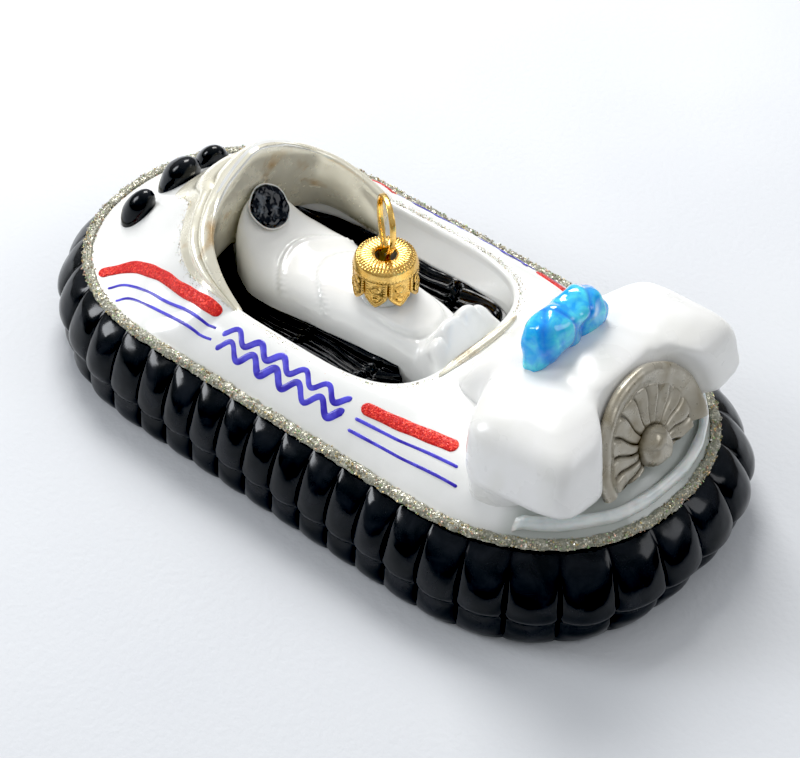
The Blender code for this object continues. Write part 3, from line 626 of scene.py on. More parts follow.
@dataclass(frozen=True)
class HullForm:
    """The oval of the deck's edge, the cockpit's rim inside it, and the skin between the two.

    The rim is a superellipse and the deck's edge is one with a straight part let in amidships. A
    point of the skin lies on a ray from the well's centre: share 0 is the edge and 1 the rim.
    """

    half_length: float = 57.2
    half_width: float = 27.1
    end_depth: float = 30.0
    end_power: float = 2.2
    edge_z: float = 16.7
    well_x: float = 5.5
    well_length: float = 23.5
    well_width: float = 19.0
    well_power: float = 3.6
    coaming_z: float = 23.5
    rise: float = 15.1
    rise_power: float = 1.15
    crest: float = 0.08
    hollow: tuple[float, float] = (1.7, 1.25)
    hollow_turn: tuple[float, float] = (math.radians(24), math.radians(12))
    bow_blend: float = 6.0
    stern_turn: tuple[float, float] = (0.75, 0.2)
    stern_power: float = 5.0
    cowl_half_turn: float = math.radians(60)
    cowl_width: float = 0.30
    cowl_least: float = 0.06
    tongue: tuple[float, float, float] = (math.radians(17), math.radians(9), 0.50)
    undercut_depth: float = 3.0
    undercut_cos: float = 0.7
    wall_foot: tuple[float, float] = (1.1, 20.2)
    floor_inset: float = 1.7
    side_slope: tuple[float, float] = (2.6, 1.8)
    side_sine: tuple[float, float] = (0.5, 0.35)

    def edge(self, count: int, stretch: float = 0.0) -> tuple[Array, Array]:
        """Points and outward normals of the deck's edge, evenly spaced from the bow by port.

        Args:
            count: How many.
            stretch: How much wider the spacing is where the edge runs across the craft.

        Returns:
            Points and normals in plan.
        """
        t = np.linspace(0, 2 * np.pi, 6000, endpoint=False)
        cos, sin = np.cos(t), np.sin(t)
        power = 2.0 / self.end_power
        straight = self.half_length - self.end_depth
        x = np.sign(cos) * (np.abs(cos) ** power * self.end_depth + straight)
        y = np.sign(sin) * np.abs(sin) ** power * self.half_width
        loop = np.column_stack([np.append(x, x[0]), np.append(y, y[0])])
        step = np.diff(loop, axis=0)
        length = np.hypot(step[:, 0], step[:, 1])
        across = np.abs(step[:, 1]) / np.maximum(length, 1e-9)
        travelled = np.append(0.0, np.cumsum(length * (1.0 - stretch * across)))
        wanted = np.linspace(0, travelled[-1], count, endpoint=False)
        points = np.column_stack([np.interp(wanted, travelled, loop[:, k]) for k in (0, 1)])
        tangent = np.roll(points, -1, 0) - np.roll(points, 1, 0)
        tangent /= np.linalg.norm(tangent, axis=1, keepdims=True)
        return points, np.column_stack([tangent[:, 1], -tangent[:, 0]])

    def rays(self, count: int) -> tuple[Array, Array]:
        """Angles, from the bow by port, and lengths of the rays out to the deck's edge."""
        shifted = self.edge(count)[0] - (self.well_x, 0.0)
        return np.arctan2(shifted[:, 1], shifted[:, 0]), np.hypot(shifted[:, 0], shifted[:, 1])

    def reach(self, angle: Array) -> Array:
        """Length of the rays out to the deck's edge at any angles."""
        known, length = self.rays(1200)
        return np.interp(angle, *(a[np.argsort(known)] for a in (known, length)), period=2 * np.pi)

    def rim(self, angle: Array) -> Array:
        """Distance from the well's centre to its rim.

        Args:
            angle: Angles of the rays.

        Returns:
            A length for each ray.
        """
        cos, sin = np.abs(np.cos(angle)), np.abs(np.sin(angle))
        inverse = (cos / self.well_length) ** self.well_power
        inverse = inverse + (sin / self.well_width) ** self.well_power
        return inverse ** (-1.0 / self.well_power)

    def rim_height(self, angle: Array) -> Array:
        """Height of the rim: level along the sides, sweeping up at the bow.

        Args:
            angle: Angles of the rays.

        Returns:
            A height for each ray.
        """
        turn = np.clip(angle, -self.cowl_half_turn, self.cowl_half_turn)
        swing = np.hypot(turn, self.crest) - self.crest
        swing = swing / (math.hypot(self.cowl_half_turn, self.crest) - self.crest)
        return self.coaming_z + self.rise * (1 - swing**self.rise_power)

    def cowl_start(self, angle: Array) -> Array:
        """Share of the slope at which the silver cowl begins.

        Args:
            angle: Angles of the rays.

        Returns:
            A share for each ray.
        """
        swing = np.clip(1 - (angle / self.cowl_half_turn) ** 2, 0, 1)
        width = np.maximum(self.cowl_width * np.sqrt(swing), self.cowl_least)
        half, blend, wide = self.tongue
        return 1.0 - width - (wide - self.cowl_width) * ease((half - np.abs(angle)) / blend)

    def undercut(self, angle: Array) -> Array:
        """How far the well's wall stands forward of the rim."""
        share = (np.cos(angle) - self.undercut_cos) / (1 - self.undercut_cos)
        return self.undercut_depth * ease(share)

    def side_share(self, angle: Array) -> Array:
        """1 at the sides of the well, where its wall slopes inwards, and 0 at its ends."""
        return ease((np.abs(np.sin(angle)) - self.side_sine[0]) / self.side_sine[1])

    def foot(self, angle: Array) -> Array:
        """Points of the foot of the well's wall.

        Args:
            angle: Angles of the rays.

        Returns:
            A point for each ray.
        """
        inward, lower = (amount * self.side_share(angle) for amount in self.side_slope)
        inset = self.wall_foot[0] + inward - self.undercut(angle)
        return self.polar(angle, self.rim(angle) - inset, self.wall_foot[1] - lower)

    def floor_radius(self, angle: Array) -> Array:
        """Distance from the well's centre to the edge of its floor."""
        inset = self.floor_inset + self.side_slope[0] * self.side_share(angle)
        return self.rim(angle) - inset + self.undercut(angle)

    def skin(self, angle: Array, share: Array, reach: Array | None = None) -> Array:
        """Points of the outer skin.

        The height rises by a sine at the sides, which bulge, by a power at the bow, which is
        hollow, and steeply at the stern, where the deck is level.

        Args:
            angle: Angles of the rays.
            share: Shares of the way from the edge to the rim, that go with the angles.
            reach: Lengths of the rays, where they are known.

        Returns:
            The points, with the coordinates last.
        """
        reach = self.reach(angle) if reach is None else reach
        rise = self.rim_height(angle) - self.edge_z
        bow = ease((rise - (self.coaming_z - self.edge_z)) / self.bow_blend)
        stern = ease((-np.cos(angle) - self.stern_turn[0]) / self.stern_turn[1])
        full = ease((self.hollow_turn[0] - np.abs(angle)) / self.hollow_turn[1])
        power = self.hollow[0] + (self.hollow[1] - self.hollow[0]) * full
        share = np.clip(share, 0.0, 1.0)
        slope = np.sin(share * np.pi / 2) * (1 - bow) * (1 - stern) + share**power * bow
        slope = slope + (1 - (1 - share) ** self.stern_power) * stern
        radius = reach + (self.rim(angle) - reach) * share
        return self.polar(angle, radius, self.edge_z + rise * slope)

    def polar(self, angle: Array, radius: Array, height: Array) -> Array:
        """Points at a radius and a height on rays from the well's centre."""
        x, y = self.well_x + radius * np.cos(angle), radius * np.sin(angle)
        return np.stack(np.broadcast_arrays(x, y, height), -1)

    def locate(self, plan: Array) -> tuple[Array, Array]:
        """The rays and shares of the skin's points over places in plan.

        Args:
            plan: The places, with the coordinates last.

        Returns:
            Their angles and their shares.
        """
        x, y = plan[..., 0] - self.well_x, plan[..., 1]
        angle = np.arctan2(y, x)
        reach = self.reach(angle)
        return angle, (reach - np.hypot(x, y)) / (reach - self.rim(angle))

    def drop(self, plan: Array) -> Array:
        """Points of the skin over places in plan.

        Args:
            plan: The places, with the coordinates last.

        Returns:
            The points.
        """
        angle, share = self.locate(plan)
        on_skin = self.skin(angle, share)
        return np.concatenate([plan[..., :2], on_skin[..., 2:]], -1)


FORM = HullForm()


@dataclass
class Hull:
    """The white deck, topsides and well, and the silver cowl round the front of the cockpit."""

    around: int = 440
    bottom_z: float = 8.0
    skirt_top_z: float = 16.2
    skirt_inset: float = 5.3
    floor_z: float = 12.0
    lip: tuple = ((0.25, 0.02), (0.5, 0.12), (0.72, 0.35), (0.85, 0.8), (0.92, 1.5))
    lip_undercut: float = 0.2
    wall_rows: int = 16
    cowl_around: int = 220
    cowl_press: float = 0.55
    cowl_overlap: float = 0.006
    rolls: float = 0.95
    roll_width: float = 6.5
    roll_power: float = 0.7
    band: float = 0.3
    cowl_depth: float = 0.3
    dark_turn: float = 0.95
    outward_rise: float = 0.5
    shelf_x: float = -40.0
    shelf_fade: float = 4.0
    shelf_z: float = 22.5
    deck_clearance: float = 0.3

    def upper_rows(self, angle: Array, reach: Array, start: Array, rows: tuple) -> Array:
        """Skin from the deck's edge over the rim and down the well's wall.

        Args:
            angle: Angles of the rays.
            reach: Their lengths.
            start: Share at which the cowl begins, on each ray.
            rows: How many rows lie below that share and above it.

        Returns:
            A grid with one column for each ray.
        """
        low = start * np.linspace(0, 1, rows[0], endpoint=False)[:, None]
        high = start + (1 - start) * np.linspace(0, 1, rows[1])[:, None]
        share = np.vstack([low, high]) if rows[0] else high
        grid = FORM.skin(angle, share, reach)
        rim, top, forward = FORM.rim(angle), FORM.rim_height(angle), FORM.undercut(angle)
        under = self.lip_undercut * forward
        lip = [FORM.polar(angle, rim - inset + under, top - drop) for inset, drop in self.lip]
        foot = FORM.foot(angle)
        part = np.linspace(0, 1, self.wall_rows + 1)[1:, None, None]
        wall = lip[-1] + (foot - lip[-1]) * part
        return np.vstack([grid, np.array(lip), wall])

    def deck(self) -> None:
        """The hull: a ring inside the skirt, the skin, the rim, and the well with its floor."""
        points, normals = FORM.edge(self.around)
        angle, reach = FORM.rays(self.around)
        ring = []
        for inset, z in ((self.skirt_inset, self.bottom_z), (self.skirt_inset, self.skirt_top_z)):
            ring.append(np.column_stack([points - normals * inset, np.full(self.around, z)]))
        plan = points - normals * self.deck_clearance
        ring.append(np.column_stack([plan, np.full(self.around, self.skirt_top_z)]))
        rows = (36, 24)
        upper = self.upper_rows(angle, reach, FORM.cowl_start(angle), rows)
        lean = np.full(self.around, self.outward_rise)
        outward = np.column_stack([np.cos(angle), np.sin(angle), lean])
        under = ease((FORM.cowl_half_turn - np.abs(angle)) / math.radians(1.5))
        press = np.zeros(upper.shape[:2])
        press[rows[0] + 1 :] = -self.cowl_press * under
        press[: rows[0] + rows[1]] += 0.1 * ripple(upper[: rows[0] + rows[1]], 17.0, 3)
        press[0] = 0.0
        upper = lift(upper, press, (False, True), outward)
        floor = FORM.polar(angle, FORM.floor_radius(angle), self.floor_z)
        rows_all = np.vstack([np.array(ring), upper, floor[None]])
        # The attribute "shade" here greys the low deck aft of shelf_x.
        level = rows_all[..., 2] < self.shelf_z
        shade = ease((self.shelf_x - rows_all[..., 0]) / self.shelf_fade) * level
        mesh = Shell().tube(rows_all, shade).mesh("hull_shell", 55.0)
        add_piece("hull_shell", mesh, Palette.WHITE, ["hull"])

    def cowl(self) -> None:
        """The silver collar: two rolls side by side, the rim, and the wall inside it."""
        limit = FORM.cowl_half_turn * 1.008
        angle = np.linspace(-limit, limit, self.cowl_around)
        reach = FORM.reach(angle)
        start = FORM.cowl_start(angle) - self.cowl_overlap
        rows = 44
        grid = self.upper_rows(angle, reach, start, (0, rows))
        wide = (1 - start) * (reach - FORM.rim(angle))
        size = np.minimum(1.0, wide / self.roll_width)
        across = np.linspace(0, 1, rows)[:, None]
        part = np.clip((across - self.band) / (1 - self.band), 0, 1)
        bulge = np.abs(np.sin(2 * np.pi * part)) ** self.roll_power
        height = np.zeros(grid.shape[:2])
        height[:rows] = self.rolls * size * bulge + 0.06
        height[rows:] = 0.1
        height += 0.09 * ripple(grid, 8.0, 5)
        lean = np.full(len(angle), self.outward_rise)
        outward = np.column_stack([np.cos(angle), np.sin(angle), lean])
        shade = np.zeros(grid.shape[:2])
        # Painted shade: darker in the valley between the two rolls.
        shade[:rows] = 0.7 * size * bell((part - 0.5) / 0.06)
        inside = rows + len(self.lip) + 1
        down = np.linspace(-0.55, 1, grid.shape[0] - inside)[:, None]
        # Painted shade: darker low on the inner wall, towards its sides.
        shade[inside:] += 0.9 * ease(down) * bell((np.abs(angle) - self.dark_turn) / 0.35)
        outward = np.broadcast_to(outward, grid.shape).copy()
        outward[rows:] = 0.0
        shell = Shell().blister(grid, height, self.cowl_depth, np.clip(shade, 0, 1), outward)
        mesh = shell.mesh("cowl_collar", 70.0)
        add_piece("cowl_collar", mesh, Palette.SILVER, ["cowl"])

    def build(self) -> None:
        """Builds the hull and the cowl."""
        self.deck()
        self.cowl()


@dataclass
class Skirt:
    """The black ring of inflated lobes, a closed profile carried round the deck's edge."""

    lobes: int = 46
    lobe_steps: int = 20
    stretch: float = 0.2
    end_reach: float = 0.1
    quarter_reach: float = 0.4
    inset: float = 5.0
    top_z: float = 15.9
    groove_power: float = 0.55
    groove_share: float = 1.15
    swell: tuple[float, float] = (-0.45, 0.0)
    sag: tuple[float, float] = (-0.35, 0.35)
    middle_z: float = 9.0
    middle_fade: float = 7.0
    rows: int = 72
    profile: tuple = (
        (0.0, 15.9, 0.0, 0.0),
        (1.0, 15.85, 0.2, 0.0),
        (2.0, 15.4, 0.5, 0.0),
        (3.7, 14.0, 0.9, 0.0),
        (5.3, 11.8, 1.3, 0.0),
        (6.4, 9.4, 1.5, 0.0),
        (6.75, 7.4, 1.4, 0.2),
        (6.4, 6.2, 1.2, 0.5),
        (5.9, 5.5, 0.9, 0.8),
        (6.15, 4.4, 1.2, 1.0),
        (6.2, 3.0, 1.2, 1.2),
        (5.9, 1.4, 0.9, 1.7),
        (5.1, 0.0, 0.5, 1.6),
    )

    def build(self) -> None:
        """Builds the skirt: each lobe is half a sine wave to a low power, so that it is round and
        the groove beside it sharp, and no two lobes are quite alike."""
        count = self.lobes * self.lobe_steps
        points, normals = FORM.edge(count, self.stretch)
        draw = np.random.default_rng(11)
        lobe = np.arange(count) // self.lobe_steps
        phase = (np.arange(count) % self.lobe_steps) / self.lobe_steps
        pinch = 1.0 - np.sin(np.pi * phase) ** self.groove_power
        swell = draw.uniform(*self.swell, self.lobes)[lobe] * np.sin(np.pi * phase)
        sag = draw.uniform(*self.sag, self.lobes)[lobe] * np.sin(np.pi * phase)
        end = normals[:, 0] ** 2
        quarter = np.clip(-normals[:, 0], 0, 1) * np.abs(normals[:, 1])
        reach = 1.0 + self.end_reach * end + self.quarter_reach * quarter
        out, height, groove, tuck = resample(self.profile, self.rows).T[:, :, None]
        middle = bell((height - self.middle_z) / self.middle_fade)
        offset = out * reach - tuck * end - groove * pinch * self.groove_share + swell * middle
        level = np.clip(height + sag * middle, 0.0, None)
        plan = points + normals * offset[..., None]
        outer = np.concatenate([plan, np.broadcast_to(level, offset.shape)[..., None]], -1)
        ends = [
            np.column_stack([points - normals * self.inset, np.full(count, z)])[None]
            for z in (self.top_z, 0.0)
        ]
        rows = np.vstack([ends[0], outer, ends[1]])
        # Painted shade: darker in the grooves between the lobes.
        shade = np.vstack([np.zeros((1, count)), np.broadcast_to(pinch**3, offset.shape)])
        shade = np.vstack([shade, np.zeros((1, count))])
        mesh = Shell().grid(rows, (True, True), shade).mesh("skirt_tube", 75.0)
        add_piece("skirt_tube", mesh, Palette.BLACK, ["skirt"])


@dataclass
class Knobs:
    """The three round knobs across the bow."""

    sizes: dict = field(
        default_factory=lambda: {
            "port": (48.6, 9.0, 3.2),
            "centre": (47.5, 0.0, 3.8),
            "starboard": (48.6, -9.0, 3.2),
        }
    )
    tall: float = 1.25
    seat: float = 0.25
    dent: float = 0.14
    around: int = 64
    rows: int = 26

    def build(self) -> None:
        """Builds each knob: a quarter ellipse turned about an upright axis, set on the skin."""
        turn = np.arange(self.around) * 2 * np.pi / self.around
        circle = np.column_stack([np.cos(turn), np.sin(turn)])
        swing = np.linspace(-0.25, math.radians(88), self.rows)[:, None, None]
        for where, (x, y, radius) in self.sizes.items():
            plan = (x, y) + radius * np.cos(np.clip(swing, 0, None)) * circle
            base = FORM.drop(plan)
            base[..., 2] += radius * self.tall * np.sin(swing[..., 0]) + self.seat
            dents = self.dent * ripple(base, 4.5, 7)
            base = lift(base, dents, (False, True), base - base.mean((0, 1)))
            name = "knob_" + where
            mesh = Shell().tube(base).mesh(name)
            add_piece(name, mesh, Palette.BLACK, ["bow_knob_" + where])


@dataclass
class Console:
    """The central pod with its gauge, the seat and the seat's round back."""

    stations: tuple = (
        (30.1, 2.2, 26.0),
        (29.7, 4.7, 28.4),
        (28.6, 6.2, 29.7),
        (26.6, 7.4, 27.2),
        (24.4, 8.5, 25.0),
        (21.8, 9.5, 23.7),
        (18.0, 9.6, 23.3),
        (12.0, 8.7, 23.9),
        (6.0, 7.9, 24.2),
        (0.0, 7.3, 24.4),
        (-5.0, 6.8, 24.2),
        (-8.0, 6.5, 23.4),
        (-10.2, 6.3, 22.8),
        (-11.9, 6.5, 25.0),
        (-13.2, 6.8, 27.4),
        (-14.5, 7.4, 28.1),
        (-16.2, 8.4, 26.3),
        (-17.9, 9.2, 23.6),
    )
    lobes: tuple[float, float, float] = (4.4, -6.2, 0.9)
    side_z: float = 18.0
    foot_z: float = 12.3
    core_z: float = 15.0
    power: float = 2.6
    along: int = 170
    around: int = 96
    creases: tuple = ((20.4, 0.065, 0.3), (13.4, 0.11, 0.0))
    seat: tuple[float, float, float, float] = (-1.5, 0.0, 8.8, 5.3)
    seat_groove: float = 0.42
    seat_welt: float = 0.2
    seat_back: tuple[float, float] = (-14.0, 22.5)
    gauge_at: tuple[float, float, float] = (26.5, 0.0, 27.9)
    gauge_lean: float = math.radians(47)
    gauge_radius: float = 3.7
    gauge_profile: tuple = (
        (1.0, -0.2),
        (1.0, 0.35),
        (0.97, 0.62),
        (0.9, 0.75),
        (0.7, 0.78),
        (0.35, 0.74),
        (0.02, 0.72),
    )
    gauge_around: int = 96

    def pod(self) -> None:
        """The pod: superellipse sections with straight sides, cast creases across its top, and
        a groove round the seat."""
        x, half, top = resample(self.stations, self.along).T[:, :, None]
        a = np.linspace(0, np.pi, self.around)
        cos, sin = np.cos(a), np.sin(a)
        y = half * np.sign(cos) * np.abs(cos) ** (2 / self.power)
        z = self.side_z + (top - self.side_z) * np.abs(sin) ** (2 / self.power)
        upper = np.stack([np.broadcast_to(x, y.shape), y, z], -1)
        height = 0.12 * ripple(upper, 7.0, 21)
        shade = np.zeros(height.shape)
        for at, bend, middle in self.creases:
            gap = upper[..., 0] - (at - bend * (upper[..., 1] - middle) ** 2)
            reach = ease((z - self.side_z - 1.5) / 1.5)
            height = height + reach * (0.28 * bell(gap / 0.45) - 0.16 * bell((gap - 0.8) / 0.5))
            # Painted shade in the dip just behind each crease.
            shade = shade + 0.25 * reach * bell((gap - 0.7) / 0.4)
        u = (upper[..., 0] - self.seat[0]) / self.seat[2]
        v = (upper[..., 1] - self.seat[1]) / self.seat[3]
        ring = (np.abs(u) ** 3 + np.abs(v) ** 3) ** (1 / 3)
        aft = ease(0.6 - u)
        height = height - self.seat_groove * aft * bell((ring - 1.0) / 0.1)
        height = height + self.seat_welt * aft * bell((ring - 0.85) / 0.1)
        # Painted shade in the groove round the seat.
        shade = shade + 0.3 * aft * bell((ring - 1.0) / 0.06)
        period, first, tall = self.lobes
        back_x, back_z = self.seat_back
        bolster = bell((upper[..., 0] - back_x) / 2.0) * ease((z - back_z) / 2.0)
        wave = np.abs(np.cos(np.pi * (upper[..., 1] - first) / period))
        height = height + tall * bolster * (wave**0.6 - 0.6)
        # Painted shade in the folds between the lobes of the seat's back.
        shade = shade + 0.35 * bolster * bell(wave / 0.12)
        upper = lift(upper, height, (False, False), upper - (0, 0, self.core_z))
        level = np.full(self.along, self.foot_z)
        feet = [np.stack([x[:, 0], s * half[:, 0], level], -1) for s in (-1, 1)]
        rows = np.concatenate([upper, feet[0][:, None], feet[1][:, None]], 1)
        shade = np.hstack([shade, np.zeros((self.along, 2))])
        mesh = Shell().tube(rows, np.clip(shade, 0, 1)).mesh("console_pod", 55.0)
        add_piece("console_pod", mesh, Palette.WHITE, ["console"])

    def gauge(self) -> None:
        """The gauge: a dished disc with a rounded edge, and a thin ring of bare glass round it."""
        across = np.array([0.0, 1.0, 0.0])
        up = np.array([math.cos(self.gauge_lean), 0.0, math.sin(self.gauge_lean)])
        out = np.cross(up, across)
        turn = np.arange(self.gauge_around) * 2 * np.pi / self.gauge_around
        circle = np.outer(np.cos(turn), across) + np.outer(np.sin(turn), up)
        wobble = 1 + 0.02 * np.sin(3 * turn + 1) + 0.015 * np.sin(5 * turn)
        profile = resample(self.gauge_profile, 40)
        rows = np.array(self.gauge_at) + profile[:, 1, None, None] * out
        rows = rows + self.gauge_radius * profile[:, 0, None, None] * (circle * wobble[:, None])
        rows = lift(rows, 0.13 * ripple(rows, 2.1, 31), (False, True), out)
        mesh = Shell().tube(rows).mesh("gauge_dial")
        add_piece("gauge_dial", mesh, Palette.DIAL, ["gauge"])
        small = np.linspace(0, 2 * np.pi, 14, endpoint=False)[:, None, None]
        spine = (self.gauge_radius + 0.12 + 0.16 * np.cos(small)) * circle * wobble[:, None]
        rows = np.array(self.gauge_at) + spine + (0.25 + 0.14 * np.sin(small)) * out
        mesh = Shell().grid(rows, (True, True)).mesh("gauge_ring")
        add_piece("gauge_ring", mesh, Palette.FROST)

    def build(self) -> None:
        """Builds the pod and the gauge."""
        self.pod()
        self.gauge()


@dataclass
class Footwells:
    """The black floors beside the console, with ridges along them, and the strip behind."""

    turns: tuple[float, float] = (math.radians(11), math.radians(153))
    front: tuple[float, float, float] = (math.radians(34), math.radians(16), 2.6)
    along: int = 200
    across: int = 60
    profile: tuple = ((0.0, 18.6), (0.18, 17.4), (0.4, 15.9), (0.7, 15.4), (0.88, 16.2), (1.0, 17.7))
    low_z: float = 12.3
    ridges: float = 6.0
    joints: tuple = (9.5, -3.5)
    strip_x: float = -18.3
    strip_half: tuple[float, float] = (0.95, 9.6)
    strip_z: float = 23.72
    overlap: tuple[float, float] = (0.25, 0.1)
    ridge_height: float = 0.24
    joint_depth: float = 0.55

    def floor(self, side: Side) -> None:
        """One floor: rows from the outer wall to the console, wavy across with ridges that run
        fore and aft, with two joints across it and its front swept up under the cowl.

        Args:
            side: The side of the craft that it lies on.
        """
        angle = np.linspace(*self.turns, self.along)
        outer = FORM.floor_radius(angle) + self.overlap[0]
        reach = np.linspace(0, 30, 1500)
        stations = sorted((s[0], s[1]) for s in Console().stations)
        xs, halves = np.array(stations).T
        x = FORM.well_x + reach * np.cos(angle)[:, None]
        inside = reach * np.sin(angle)[:, None] < np.interp(x, xs, halves, left=0, right=0)
        inner = np.where(inside, reach, 0).max(1) + self.overlap[1]
        part = np.linspace(0, 1, self.across)
        stops, heights = np.array(self.profile).T
        level = np.interp(part, stops, heights)
        level = np.convolve(np.pad(level, 4, mode="edge"), np.ones(9) / 9, "valid")[:, None]
        radius = outer + (inner - outer) * part[:, None]
        near, fall, rise_front = self.front
        sweep = rise_front * ease((near - angle) / fall) * (1 - part[:, None]) ** 2
        top = FORM.polar(angle, radius, level + sweep)
        wobble = 0.7 * ripple(top * (0.3, 1, 1), 6.0, 41)
        wave = np.cos(2 * np.pi * (part[:, None] * self.ridges + wobble))
        fade = ease(part[:, None] / 0.12) * ease((1 - part[:, None]) / 0.1)
        rise = self.ridge_height * np.sign(wave) * np.abs(wave) ** 0.6 * fade
        for at in self.joints:
            lean = top[..., 0] - at - 0.25 * (top[..., 1] - 12)
            rise = rise - self.joint_depth * bell(lean / 0.5) * fade
            rise = rise + 0.3 * bell((lean - 1.0) / 0.7) * fade
        top[..., 2] += rise + 0.12 * ripple(top, 4.0, 43)
        # Painted shade: darker where the floor lies low, between the ridges and in the joints.
        shade = np.clip(0.5 - 2 * rise, 0, 1)
        bottom = top.copy()
        bottom[..., 2] = self.low_z
        flip = np.array([1, side.value, 1])
        wall = np.vstack([bottom[:1], top, bottom[-1:]]) * flip
        shade = np.vstack([shade[:1], shade, shade[-1:]])
        ends = np.concatenate([wall[:, :1], wall, wall[:, -1:]], 1)
        ends[:, [0, -1], 2] = self.low_z
        shade = np.hstack([shade[:, :1], shade, shade[:, -1:]])
        flat = ends.copy()
        flat[..., 2] = self.low_z
        name = "footwell_mat_" + side.name.lower()
        mesh = Shell().grid(ends, shade=shade).grid(flat).mesh(name, 65.0)
        node = "footwell_" + side.name.lower()
        add_piece(name, mesh, Palette.BLACK, [node])

    def strip(self) -> None:
        """The bare sliver behind the seat: a leaf that is widest in its middle."""
        v = np.linspace(-1, 1, 120)
        u = np.linspace(-1, 1, 16)[:, None]
        half, long = self.strip_half
        wide = half * (1 - np.abs(v) ** 2.2) + 0.05
        x = self.strip_x + u * wide + 0.25 * np.sin(2.2 * v)
        y = np.broadcast_to(v * long, x.shape)
        base = np.stack([x, y, np.full(x.shape, self.strip_z) - 0.18 * u * wide], -1)
        hair = 0.05 * np.cos(9 * u + 3 * ripple(base * (1, 0.3, 1), 6.0, 51))
        # Painted shade along the hairline grooves.
        shell = Shell().blister(base, 0.3 * (1 - u**4) + hair, 0.35, np.clip(-8 * hair, 0, 0.8))
        mesh = shell.mesh("rear_sliver")
        add_piece("rear_sliver", mesh, Palette.SILVER, ["rear_strip"])

    def build(self) -> None:
        """Builds both floors and the strip."""
        for side in Side:
            self.floor(side)
        self.strip()


